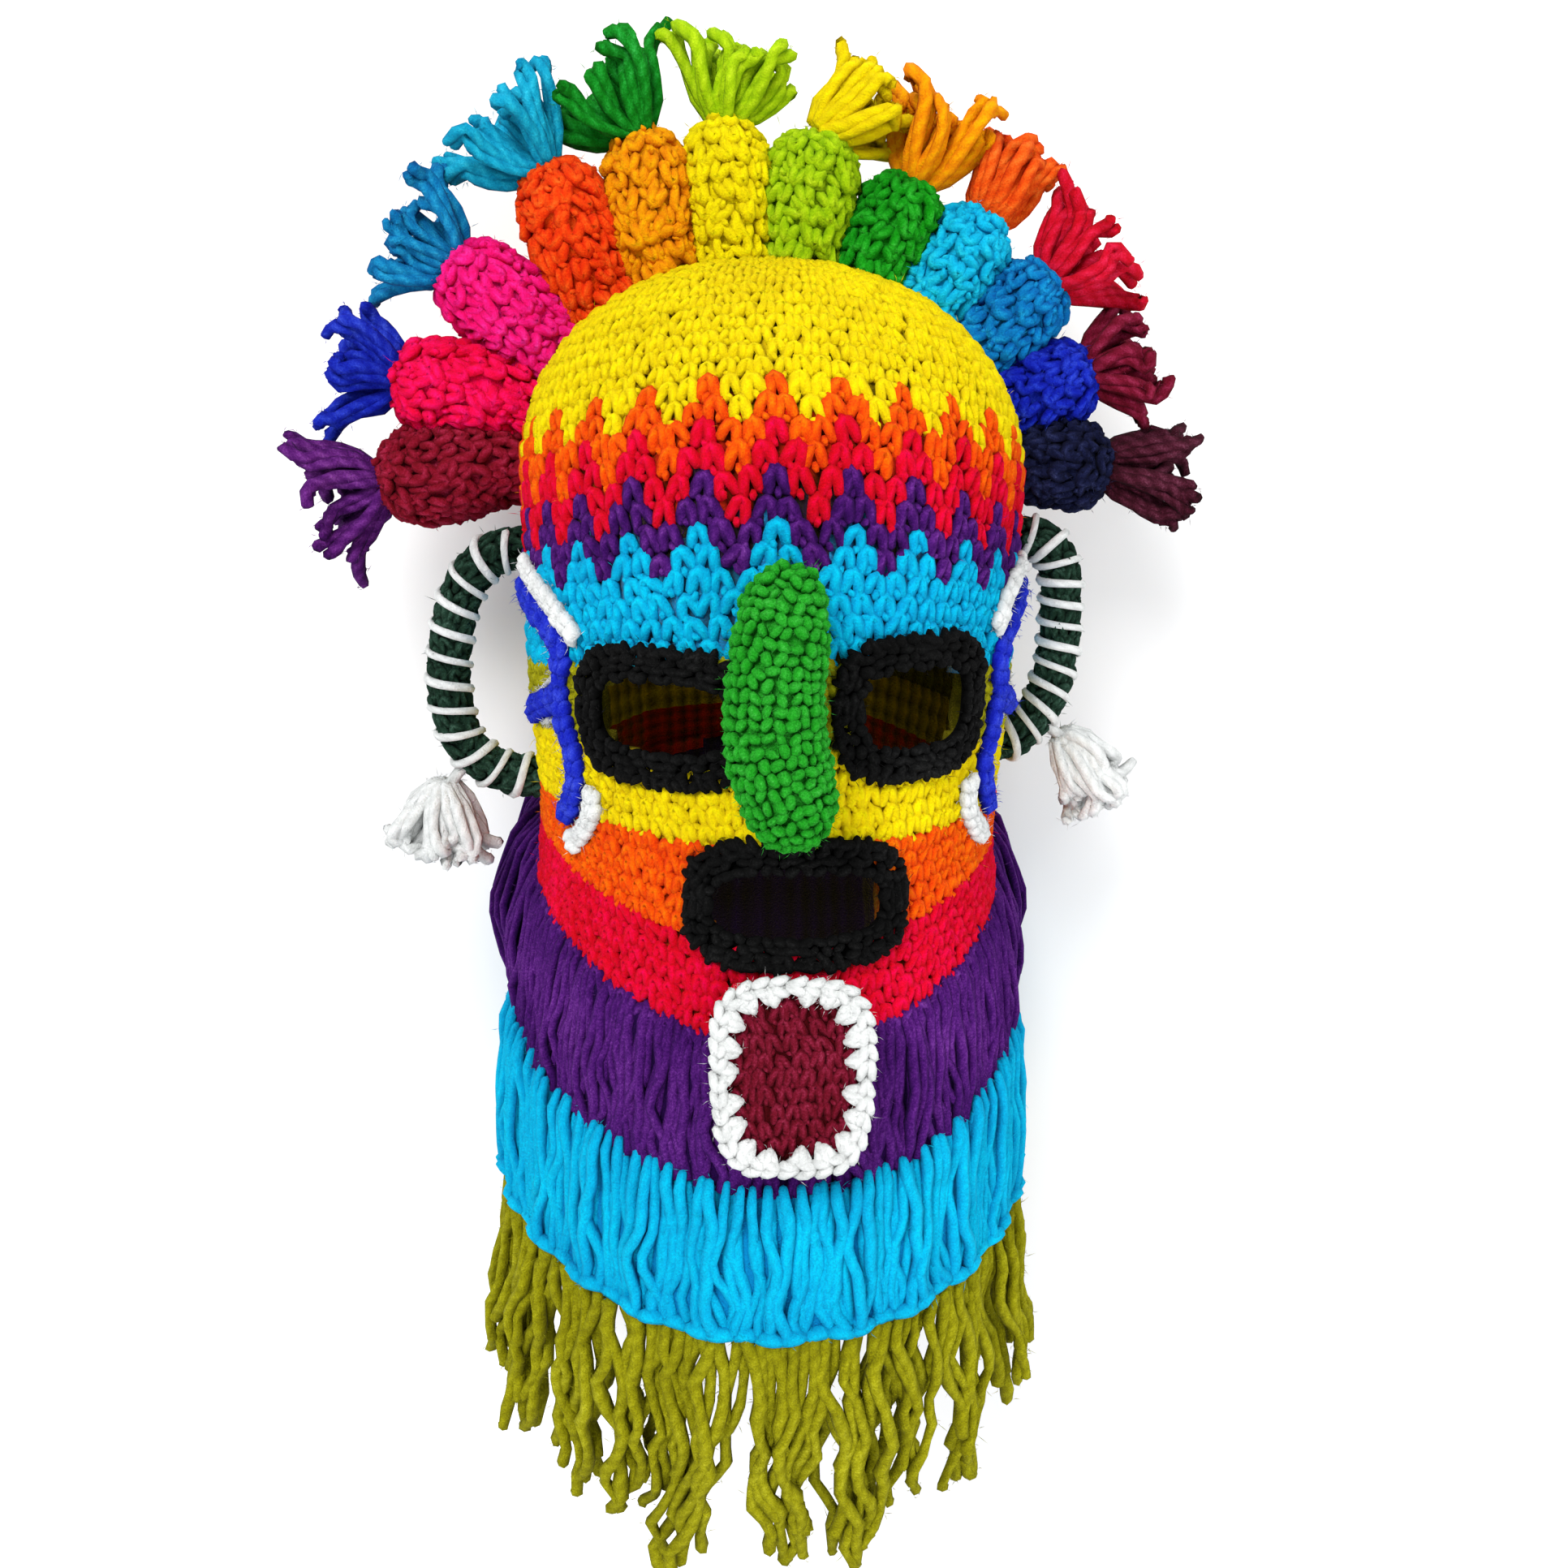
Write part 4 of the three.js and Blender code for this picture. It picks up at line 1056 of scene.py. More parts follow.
class Rims(bpy.types.Operator):
    """The black crocheted edgings of the eyes and the mouth"""

    bl_idname = "dance_mask.rims"
    bl_label = "Eye and mouth edgings"

    def execute(self, context):
        black = wool("wool_black", colours().black, twist=0.2, sheen=0.06)
        for seed, (name, hole) in enumerate(HOLES.items()):
            rng = np.random.default_rng(50 + seed)

            def place(turn, grow, lift):
                angle, height = hole_place(hole, turn, grow)
                return hood_point(angle, height, lift)

            around = np.linspace(0, CIRCLE, 181)
            along = walked(place(around, np.zeros(181), np.zeros(181)))
            count = 2 * round(along[-1] / RIM_STITCH)
            turn = np.interp((np.arange(count) + 0.5) / count * along[-1], along, around)
            pitch = np.gradient(turn)
            pitch[0] = pitch[-1] = CIRCLE / count
            half = RIM_WIDTH / 2
            yarn = Yarn()
            for row in range(4):
                add_grains(
                    yarn, lambda t, grow, lift: place(t, grow * 2.5 - half + 0.9, lift),
                    turn + 0.5 * pitch * (row % 2), row, pitch, 1.5, rng, 1.0, 1.5, 2.0,
                )
            lean = rng.normal(0, 0.12, count)
            foot = (lean - 0.1, half - 3.4)
            top = (lean + 0.15, half + rng.normal(2.4, 0.5, count))
            line, up = lobe_lines(place, turn, 0, pitch, foot, top, (0.9, 2.0))
            yarn.add(line, up, lobe_radius(1.9) * np.linspace(1.15, 0.6, 6))
            yarn.add_fibres(rng, count * FIBRES["rim lobe"])
            # The backing sheet has no outward value, so the wool material paints it in its deepest
            # shade.
            body = f"{name}_body"
            levels = (-half + 0.8, half - 1.2)
            backing = sheet_mesh(body, place, 97, 4, (0, CIRCLE), levels, 0.6, 1.6)
            show(body, backing, black, [name])
            show_yarn(yarn, name, black)
        return {"FINISHED"}


def nose_stem():
    """The nose's middle line and radius."""
    line = curve_through([(x, y, 0) for x, y in NOSE_LINE], 60)
    share = np.linspace(0, 1, 60)
    face = hood_point(0.0, line[:, 1], 0.0)[:, 2]
    line[:, 2] = face + NOSE_RADIUS + NOSE_CLEARANCE + NOSE_DROP * share

    def radius(s):
        end = np.clip(np.abs(2 * s - 1), 0, 1)
        return NOSE_RADIUS * (1 - end**4.5) ** (1 / 2.2) * (0.94 + 0.13 * s)

    return Stem(spread_evenly(line, 60), radius)


def stuffed(stem, rng, filling, rounds, draw, *fibres):
    """Yarn of a stuffed tube: a closed filling, rounds of stitches over it and loose fibres."""
    yarn = Yarn()
    inset, sides = filling
    share = stem.even_shares(np.linspace(0, 1, 16))[0]
    radius = np.maximum(stem.radius(share) - inset, 0.1)
    yarn.add(stem.at(share, stem.line)[None], (0, 0, 1), radius[None], sides=sides)
    height, width, radius = rounds
    rows = round(stem.even_shares(0)[1] / height)
    turn, row, pitch = [], [], []
    for r in range(rows):
        share = stem.even_shares((r + 0.5) / rows)[0]
        count = max(4, round(CIRCLE * float(stem.radius(share)) / width))
        turn += list((np.arange(count) + rng.uniform(0, 1)) * CIRCLE / count)
        row += [rows - 1 - r] * count
        pitch += [CIRCLE / count] * count

    def place(t, r, lift):
        share = stem.even_shares(np.clip(1 - r / rows, 0.002, 0.998))[0]
        return stem.place(-t, share, lift)

    draw(yarn, place, *np.array([turn, row, pitch], float), radius, rng)
    yarn.add_fibres(rng, *fibres)
    return yarn


class Nose(bpy.types.Operator):
    """The stuffed, fuzzy green nose"""

    bl_idname = "dance_mask.nose"
    bl_label = "Nose"

    def execute(self, context):
        yarn = stuffed(
            nose_stem(), np.random.default_rng(70), NOSE_FILLING, NOSE_ROUNDS,
            lambda *given: add_grains(*given, 0.7, 1.4, -0.3), FIBRES["nose"], 2.2, 0.1,
        )
        green = wool("wool_green", colours().green, twist=0.2, fuzz=1.8, bump=1.0, sheen=0.4)
        show_yarn(yarn, "nose", green)
        return {"FINISHED"}


def horn_place(number):
    """Foot, fan direction, pointing direction, tip and tassel direction of a horn."""
    length, turn, _, lean = HORNS[number][:4]
    around = math.radians(FAN_START + FAN_STEP * number)
    way = around + math.radians(turn)
    tassel_way = way + math.radians(lean)
    radial = np.array([math.cos(around), math.sin(around), 0])
    out = np.array([math.cos(way), math.sin(way), 0])
    foot = np.array([
        HALF_WIDTHS[-1][1] * math.cos(around),
        DOME_START + (CROWN_HEIGHT - DOME_START) * math.sin(around),
        AXIS_ABOVE_FLOOR - FAN_SET_BACK,
    ])
    foot = foot + radial * 3.4
    tassel_out = unit(np.array([math.cos(tassel_way), math.sin(tassel_way), -0.12]))
    return foot, radial, out, foot + out * length, tassel_out


def horn_stem(number):
    """A horn's middle line and radius."""
    foot, radial, out, tip, _ = horn_place(number)
    line = curve_through([
        foot - radial * HORN_FOOT_DEPTH,
        foot + radial * 6,
        foot + out * HORNS[number][0] * 0.6,
        tip + out * 1.5,
    ])

    def radius(s):
        s = np.clip(s, 0, 1)
        swell = HORN_FOOT_RADIUS + (HORNS[number][2] - HORN_FOOT_RADIUS) * smooth_step(s, 0, 0.45)
        return swell * (1 - np.clip((s - 0.62) / 0.38, 0, 1) ** 2.6) ** 0.5

    return Stem(line, radius)


class Horns(bpy.types.Operator):
    """The twelve stuffed horns"""

    bl_idname = "dance_mask.horns"
    bl_label = "Horns"

    def execute(self, context):
        for number in range(len(HORNS)):
            name = f"horn_{number + 1:02d}"
            yarn = stuffed(
                horn_stem(number), np.random.default_rng(100 + number), HORN_FILLING, HORN_ROUNDS,
                lambda *given: add_stitches(*given, 0.19, (-2.2, -0.4), 0.84), FIBRES["horn"],
            )
            show_yarn(yarn, name, dyed(name))
        return {"FINISHED"}


def strand_shares(points):
    """Shares along a strand with close points at its blunt ends."""
    return np.concatenate([[0, 0.012], np.linspace(0.03, 0.97, points - 4), [0.988, 1]])


def bundle(yarn, start, way, length, spread, strands, radius, rng, sag, curl):
    """Free yarn ends in locks of two, opening out from a tied neck; curl turns their ends in."""
    locks = max(1, strands // 2)
    side = unit(np.cross(way, (0, 0, 1)))
    over = np.cross(side, way)

    def lock(values):
        return np.repeat(values, 2, axis=-1)[..., None]

    s = strand_shares(12)[None]
    fan = lock(2.4 * np.arange(locks) + rng.uniform(0, 0.6, locks))
    reach = lock(np.sqrt((np.arange(locks) + 0.5) / locks))
    long = lock(length * rng.uniform(0.8, 1.08, locks)) * rng.uniform(0.92, 1, (2 * locks, 1))
    width = (spread - 1.6 * radius) * reach * lock(rng.uniform(0.9, 1.1, locks))
    open_up = (1 - curl) * s**0.75 + curl * np.sin(2.2 * s) * 1.1
    neck = 5.8 * reach
    apart = (neck + (width - neck * 0.6) * open_up) * (0.5 + 0.5 * np.minimum(s * 6, 1))
    phase = lock(rng.uniform(*PHASES, (4, locks)))
    swing = lock(rng.uniform(0.6, 1.4, (2, locks))) * (1 + 2.4 * s) * np.minimum(s * 1.6, 1)
    wave = swing * (np.sin(4.5 * s + phase[:2]) + 0.3 * np.sin(11.0 * s + phase[2:]))
    wind = np.tile([[0], [math.pi]], (locks, 1)) + phase[0] + 3.0 * s
    close = radius * (0.55 + 0.45 * s)
    droop = (0.12 + curl * lock(rng.uniform(0.1, 0.6, locks))) * np.maximum(s - 0.5, 0) * length
    rise = long * np.sin(1.45 * s) / math.sin(1.45) - droop
    line = start + way * rise[..., None]
    line = line + side * (wave[0] + close * np.cos(wind) + apart * np.cos(fan))[..., None]
    line = line + over * (wave[1] + close * np.sin(wind) + apart * np.sin(fan))[..., None]
    line[:, :, 2] -= sag * s**2
    girth = radius * np.interp(s, [0, 0.8, 0.97, 1], [0.95, 1.05, 0.92, 0.6])
    yarn.add(line, over, girth * rng.uniform(0.85, 1.1, (2 * locks, 1)), ply=0.1)
    yarn.add_fibres(rng, strands * FIBRES["tassel strand"])


class Tassels(bpy.types.Operator):
    """The yarn tassels on the horns' tips"""

    bl_idname = "dance_mask.tassels"
    bl_label = "Horn tassels"

    def execute(self, context):
        for number, (_, _, _, lean, reach, spread, curl) in enumerate(HORNS):
            rng = np.random.default_rng(200 + number)
            name = f"tassel_{number + 1:02d}"
            _, _, out, tip, way = horn_place(number)
            clear = 0.6 + TASSEL_NECK * math.sin(math.radians(abs(lean) + 8))
            yarn = Yarn()
            bundle(
                yarn, tip + out * (clear - 4.5), way, reach + 4.5, spread,
                sizes().tassel_strands, sizes().tassel_radius / MM, rng, 4, curl,
            )
            show_yarn(yarn, name, dyed(name))
        return {"FINISHED"}


# Collar


def nape_share(angle):
    """1 behind the jaw, where the collar bulges, and 0 at the front."""
    return smooth_step(-np.cos(angle), -0.25, 0.3) * smooth_step(np.abs(np.sin(angle)), 0.1, 0.8)


def collar_place(top, bottom, profile, puff=0.0):
    """Gives a function for places of a fluted band: angle, share of the way down and depth."""

    def place(angle, share, depth):
        angle, share, depth = matched(angle, share, depth)
        upper = line_height(top, angle) + (NAPE_RISE * nape_share(angle) if puff else 0)
        height = upper + (line_height(bottom, angle) - upper) * share
        crest = (1 + LOOP_VALLEY) / 2 + (1 - LOOP_VALLEY) / 2 * np.cos(LOOP_FLUTES * angle)
        if not puff:
            crest = crest + (1 - crest) * np.interp(share, [0.05, 0.35], [1, 0])
        lift = LOOP_THICKNESS * crest * np.interp(share, *profile)
        bulge = np.interp(share, [0, 0.15, 0.55, 1], [0, 0.7, 1, 0.3])
        lift = lift + puff * nape_share(angle) * bulge
        floor = np.maximum(floor_under(height) - lift, 0) + depth
        inner = np.interp(share, [0, 0.1], [-1.4, 1.0])
        spot = hood_point(angle, height, np.maximum(lift - depth, inner), -1000)
        spot[..., 2] = np.maximum(spot[..., 2], floor)
        return spot

    return place


def hanging_strands(
    yarn, place, rng, count, radius, depth, ends, wander, jitter=0.035, points=12
):
    """Strands that run down a band of the collar, nearly side by side, with rounded tops."""
    angle = (np.arange(count) + rng.uniform(-0.3, 0.3, count)) * CIRCLE / count
    shares = strand_shares(points)[None]
    s = ends[0] + (ends[1] - ends[0]) * shares
    s = s + rng.uniform(-jitter, jitter, (count, 1)) * (1 - s)
    slant = rng.normal(0, wander * 0.5, (count, 1))
    phase = rng.uniform(*PHASES, (count, 1))
    across = angle[:, None]
    shared = 1.8 * np.sin(5 * across + 1) + 1.6 * np.sin(13 * across + 5 * s)
    shared = shared + 1.4 * np.sin(29 * across + 9 * s)
    waves = np.sin(7 * s + phase) + 0.6 * np.sin(15 * s + 2 * phase)
    sideways = shared * s + slant * (s - 0.5) + wander * 0.3 * waves * np.minimum(0.25 + s, 1)
    turn = across + sideways / COLLAR_RADIUS
    deep = depth + rng.uniform(0, 1.5, (count, 1)) + 0.8 * np.sin(6 * s + phase * 2)
    line = place(turn, s, deep)
    out = unit(line * (1, 0, 1) - (0, 0, AXIS_ABOVE_FLOOR))
    rounded = np.interp(shares, [0, 0.012, 0.05, 0.1], [0.3, 0.6, 0.92, 1])
    girth = radius * rng.uniform(0.85, 1.12, (count, 1)) * rounded
    yarn.add(line, out, girth, ply=0.04)


def collar_body(name, place, bottom, depth):
    """The closed layer under a band's strands; without an outward value its wool is painted in the
    deepest shade, as the shade between the strands.
    """
    columns = 6 * LOOP_FLUTES + 1
    return sheet_mesh(name, place, columns, 9, (0, CIRCLE), (0.0, bottom), depth)


class PurpleLoops(bpy.types.Operator):
    """The upper collar: long purple strands, bulging behind the jaw"""

    bl_idname = "dance_mask.purple_loops"
    bl_label = "Upper collar"

    def execute(self, context):
        rng = np.random.default_rng(300)
        profile = ([0, 0.15, 0.55, 0.85, 1.05], [0.15, 0.6, 1, 0.8, 0.1])
        place = collar_place(PURPLE_LOOPS_TOP, TURQUOISE_LOOPS_TOP, profile, NAPE_PUFF)
        radius = sizes().loop_radius / MM
        yarn = Yarn()
        outer, inner = PURPLE_STRANDS
        hanging_strands(yarn, place, rng, outer, radius, radius, (-0.03, 1.04), 5.0, points=15)
        hanging_strands(yarn, place, rng, inner, radius, radius + 2.6, (0.0, 1.02), 6.0)
        yarn.add_fibres(rng, FIBRES["collar"])
        body = collar_body("loops_purple_body", place, 1.0, radius + 3.4)
        purple = wool("wool_purple_loops", colours().purple, twist=0.15, fuzz=1.5, sheen=0.1)
        show("loops_purple_body", body, purple, ["loops_purple"])
        show_yarn(yarn, "loops_purple", purple)
        return {"FINISHED"}


class TurquoiseLoops(bpy.types.Operator):
    """The lower collar: long turquoise loops over a chain edge"""

    bl_idname = "dance_mask.turquoise_loops"
    bl_label = "Lower collar"

    def execute(self, context):
        rng = np.random.default_rng(310)
        profile = ([-0.1, 0.0, 0.1, 0.55, 1.0], [0.6, 0.95, 1, 1, 0.9])
        place = collar_place(TURQUOISE_LOOPS_TOP, HEM, profile)
        radius = sizes().loop_radius / MM
        yarn = Yarn()
        fat = radius * 1.14
        outer, inner = TURQUOISE_STRANDS
        hanging_strands(yarn, place, rng, outer, fat, fat - 0.3, (-0.07, 0.97), 6.0, 0.008, 16)
        hanging_strands(yarn, place, rng, inner, fat, fat + 2.4, (0.0, 0.96), 4.0, 0.008)
        count = HEM_SCALLOPS
        turn = (np.arange(count) + 0.5) * CIRCLE / count
        foot, top = ((way, 0.955 + rng.normal(0, 0.006, count)) for way in (-0.58, 0.58))
        line, up = lobe_lines(
            lambda a, share, deep: place(a, share + 0.03 * np.cos(count / 2 * a) ** 2, deep),
            turn, 0, CIRCLE / count, foot, top, (2.9, 1.4),
        )
        yarn.add(line, -up, lobe_radius(2.5))
        yarn.add_fibres(rng, FIBRES["collar"])
        body = collar_body("loops_turquoise_body", place, 0.99, radius + 4.0)
        turquoise = wool("wool_turquoise_loops", colours().turquoise, twist=0.15, fuzz=1.5)
        show("loops_turquoise_body", body, turquoise, ["loops_turquoise"])
        show_yarn(yarn, "loops_turquoise", turquoise)
        return {"FINISHED"}


def lock_spine(number, share):
    """The middle line of a lock of the fringe."""
    angle = CIRCLE * number / FRINGE_LOCKS
    c = math.cos(angle)
    hem = float(line_height(HEM, angle))
    end_length = LOCK_LENGTHS[0] if c > 0 else LOCK_LENGTHS[2]
    reach = LOCK_LENGTHS[1] + (end_length - LOCK_LENGTHS[1]) * abs(c) ** 1.4
    reach *= 1 + 0.1 * math.sin(2.4 * number)
    start = hood_point(angle, hem, 0.0, 1.2)[0]
    start[1] = hem - 4
    sideways = 0.1 * math.sin(angle) + 0.07 * math.sin(1.7 * number + 1)
    fall = LOCK_DROOP * max(c * 0.5 + 0.5, 0)
    end = start + np.array([sideways * reach, -reach, -reach * math.tan(fall)])
    end[2] = max(end[2], LOCK_RADIUS * (LOCK_TIP + 0.04))
    start[2] = max(start[2], LOCK_RADIUS)
    middle = (start + end) / 2
    middle[2] = max(middle[2] + reach * 0.06 * max(c, 0), LOCK_RADIUS)
    t = share[..., None]
    return start * (1 - t) ** 2 + middle * 2 * t * (1 - t) + end * t**2


class Fringe(bpy.types.Operator):
    """The free two-ply olive strands that hang from the lower collar in locks"""

    bl_idname = "dance_mask.fringe"
    bl_label = "Fringe"

    def execute(self, context):
        radius = sizes().strand_radius / MM
        each = max(1, round(sizes().fringe_strands / FRINGE_LOCKS))
        yarn = Yarn()
        for number in range(FRINGE_LOCKS):
            rng = np.random.default_rng(400 + number)
            angle = CIRCLE * number / FRINGE_LOCKS
            long = rng.uniform(0.66, 0.97, (each, 1))
            long[0] = 0.96
            s = strand_shares(18)[None] * long
            spine = lock_spine(number, s)
            out = np.array([math.sin(angle), 0, math.cos(angle)])
            side = np.array([math.cos(angle), 0, -math.sin(angle)])
            place = rng.permutation((np.arange(each) + 0.5) / each * 2 - 1)
            narrowing = (LOCK_WIDTH - LOCK_RADIUS * LOCK_TIP) * np.minimum(s * 1.6, 1)
            across = place[:, None] * (LOCK_WIDTH - narrowing)
            phase = rng.uniform(*PHASES, (each, 1))
            waves = 2.8 * np.sin(8 * s + phase) + 1.7 * np.sin(19 * s + 2 * phase)
            waves = waves + 0.7 * np.sin(37 * s + 3 * phase)
            across = across + waves * np.minimum(0.45 + s * 3, 1)
            room = LOCK_RADIUS * 0.85 - radius - 1.5
            depth = rng.uniform(-1, 1, (each, 1)) * room * np.minimum(s * 2 + 0.15, 1)
            depth = depth + 1.8 * np.sin(9 * s + 3 * phase) * np.minimum(s * 3, 1)
            line = spine + side * across[..., None] + out * depth[..., None]
            line[..., 1] += 5.5 * (1 - np.minimum(s * 3, 1))
            line[..., 2] = np.maximum(line[..., 2], radius * 1.2)
            girth = radius * rng.uniform(0.85, 1.1, (each, 1))
            girth = girth * (1 + 0.12 * np.sin(31 * s + phase))
            yarn.add(line, out, girth, ply=0.12, pitch=6.0)
        yarn.add_fibres(rng, FIBRES["fringe"], 3.0)
        olive = wool("wool_fringe", colours().olive, twist=0.3, fuzz=1.7, bump=1.0)
        show("fringe_yarn", yarn.mesh("fringe_yarn"), olive, ["fringe_olive"])
        return {"FINISHED"}


# Tongue, ears and cheek lines


def tongue_point(across, up, lift):
    """A place on the tilted tongue, by millimetres from its centre."""
    across, up, lift = matched(across, up, lift)
    face = hood_point(0.0, TONGUE_CENTRE[1], 0.0)[0, 2] + LOOP_THICKNESS * 0.75 + 0.6
    c, s = math.cos(TONGUE_TILT), math.sin(TONGUE_TILT)
    x = TONGUE_CENTRE[0] + across * (1 + TONGUE_TAPER * up / TONGUE_HALF[1])
    return np.stack([x, TONGUE_CENTRE[1] + up * c + lift * s, face - up * s + lift * c], -1)


def tongue_ring(turn, inset, lift):
    """A place beside the tongue's edge, by turn round it and distance in from it."""
    across, up = square_place(turn, TONGUE_SQUARENESS)
    return tongue_point((TONGUE_HALF[0] - inset) * across, (TONGUE_HALF[1] - inset) * up, lift)


def even_turns(place, count):
    """Turns at even distances along a closed line, and their pitches."""
    around = np.linspace(0, CIRCLE, 361)
    along = walked(place(around))
    edges = np.interp(np.arange(count + 1) / count * along[-1], along, around)
    return (edges[1:] + edges[:-1]) / 2, np.diff(edges)


class Tongue(bpy.types.Operator):
    """The dark red patch under the mouth with its white toothed edging"""

    bl_idname = "dance_mask.tongue"
    bl_label = "Tongue"

    def execute(self, context):
        rng = np.random.default_rng(500)
        red = Yarn()
        wide, high = TONGUE_STITCH
        row, number = np.mgrid[-5:6, -4:5]
        across, up = (number + row_shift(row)) * wide, row * high
        x, y = across / (TONGUE_HALF[0] - 4.5), (up - 1.3) / (TONGUE_HALF[1] - 5)
        inside = square_reach(x, y, TONGUE_SQUARENESS) < 1
        across, up = across[inside], up[inside]
        add_stitches(
            red, lambda x, y, lift: tongue_point(x, y * high, lift), across, up / high - 0.5,
            wide, 1.35, rng, 0.1, (0.8, 2.4),
        )
        # The patch under the stitches has no outward value, so its wool is painted in the deepest
        # shade.
        slab = sheet_mesh(
            "tongue_patch", lambda turn, share, lift: tongue_ring(turn, (1 - share) * 24.4, lift),
            73, 4, (0, CIRCLE), (0.0, 0.84), 1.9, 1.8,
        )
        dark = wool("wool_tongue", colours().tongue, twist=0.3, fuzz=1.5, sheen=0.1)
        show("tongue_patch", slab, dark, ["tongue"])
        show_yarn(red, "tongue", dark)

        white = Yarn()
        count = TONGUE_LINKS
        turn, pitch = even_turns(lambda t: tongue_ring(t, 2.4, 0.0), count)
        for start, end, lift in ((0.9, 2.9, 5.0), (5.0, 3.2, 5.4), (3.0, 3.0, 3.6)):
            foot = (-0.62, start + rng.normal(0, 0.2, count))
            top = (0.55, end + rng.normal(0, 0.2, count))
            line, up = lobe_lines(tongue_ring, turn, 0, pitch, foot, top, (lift - 1.6, lift))
            white.add(line, up, lobe_radius(1.7))
        count = TONGUE_TEETH
        turn, pitch = even_turns(lambda t: tongue_ring(t, 6.0, 0.0), count)
        tips = 9.4 + rng.uniform(-0.9, 0.9, count)
        for side in (-1, 0, 1):
            foot = (side * 0.36 + rng.normal(0, 0.03, count), 2.6)
            top = (side * 0.10 + rng.normal(0, 0.04, count), tips - abs(side) * 0.8)
            bulge = (3.2, 4.3 + 0.5 * (side == 0))
            line, up = lobe_lines(tongue_ring, turn, 0, pitch, foot, top, bulge, 7)
            white.add(line, up, lobe_radius(1.85, 7) * np.linspace(1.15, 0.8, 7))
        white.add_fibres(rng, FIBRES["tongue edge"], 1.9, 0.1)
        show_yarn(white, "tongue_edge", dyed("white"))
        return {"FINISHED"}


def ear_stem(side):
    """An ear loop's middle line and radius."""
    first, last = (np.array(EARS[side][i]) * (0.93, 1) for i in (0, -1))
    points = [(x, y, AXIS_ABOVE_FLOOR + EAR_FORWARD) for x, y in [first, *EARS[side], last]]
    return Stem(curve_through(points), lambda s: np.full(np.shape(s), EAR_RADIUS - 0.4))


class Ears(bpy.types.Operator):
    """The stuffed ear loops, the yarn wound round them and their tassels"""

    bl_idname = "dance_mask.ears"
    bl_label = "Ears"

    def execute(self, context):
        for seed, side in enumerate(EARS):
            rng = np.random.default_rng(600 + seed)
            stem = ear_stem(side)
            yarn = stuffed(
                stem, rng, EAR_FILLING, EAR_ROUNDS,
                lambda *given: add_stitches(*given, 0.14, (-1.5, -0.3), 0.9), FIBRES["ear"],
            )
            show_yarn(yarn, f"ear_{side}", dyed("ear"))

            wrap = Yarn()
            share = np.linspace(0.06, 0.95, WRAP_TURNS * 16)
            turn = 0.25 * np.sin(share * 90) - CIRCLE * WRAP_TURNS * share
            lift = 1.15 + rng.normal(0, 0.08, len(share))
            line = stem.place(turn, share, lift)[None]
            out = unit(line - stem.at(share, stem.line)[None])
            wrap.add(line, out, (1.4 + 0.2 * np.sin(share * 50))[None], flat=0.8)
            show_yarn(wrap, f"ear_wrap_{side}", dyed("white"))

            (x, y), way, length, spread = EAR_TASSELS[side]
            way = unit(np.array([*way, 0.0]))
            knot = np.array([x, y, AXIS_ABOVE_FLOOR + EAR_FORWARD])
            ends = Yarn()
            bundle(ends, knot, way, length, spread, 60, 2.0, rng, 2, 0.6)
            tie = np.linspace(0, CIRCLE * 2.5, 30)
            side_way = unit(np.cross(way, (0, 0, 1)))
            ring = knot + way * (3 + tie / 6)[:, None] + 5.0 * (
                np.cos(tie)[:, None] * side_way + np.sin(tie)[:, None] * np.array([0, 0, 1])
            )
            ends.add(ring[None], way, np.full((1, 30), 1.4))
            near = stem.line[np.argmin(np.linalg.norm(stem.line - knot, axis=1))]
            link = curve_through([near, (near + knot) / 2 + way * 1.5, knot + way * 4], 10)
            ends.add([link + (0, 0, 1.5), link - (0, 0, 1.5)], (1, 0, 0), np.full((2, 10), 1.9))
            show_yarn(ends, f"ear_tassel_{side}", dyed("white"))
        return {"FINISHED"}


def hood_route(route):
    """Gives a function for places beside a line on the hood, and the line's length."""
    flat = curve_through([(angle * MM_PER_DEGREE, height, 0) for angle, height in route], 60)
    share = np.linspace(0, 1, len(flat))
    ways = unit(np.gradient(flat, axis=0))

    def place(across, where, lift):
        across, where, lift = matched(across, where, lift)
        x, y, dx, dy = (np.interp(where, share, v) for v in (*flat.T[:2], *ways.T[:2]))
        angle = np.radians((x - dy * across) / MM_PER_DEGREE)
        return hood_point(angle, y + dx * across, lift)

    return place, walked(flat)[-1]


def surface_chain(yarn, route, rng, width, radius, link, lift):
    """A crocheted line on the hood: fat lobes in two ranks, slanting to the middle."""
    place, length = hood_route(route)
    count = max(2, round(length / link))
    where = (np.arange(count) + 0.5) / count

    def chain_place(turn, row, up):
        return place(row, turn, up)

    for side in (-1, 0, 1):
        reach = side * (width / 2 - radius)
        foot = (-0.66 / count, reach + rng.normal(0, 0.35, count))
        top = (0.66 / count, reach * 0.45 + rng.normal(0, 0.35, count))
        high = lift + 0.6 * (side == 0)
        line, up = lobe_lines(chain_place, where, 0, 1, foot, top, (high - 1.2, high))
        yarn.add(line, up, lobe_radius(radius * (1 + rng.normal(0, 0.12, count))))


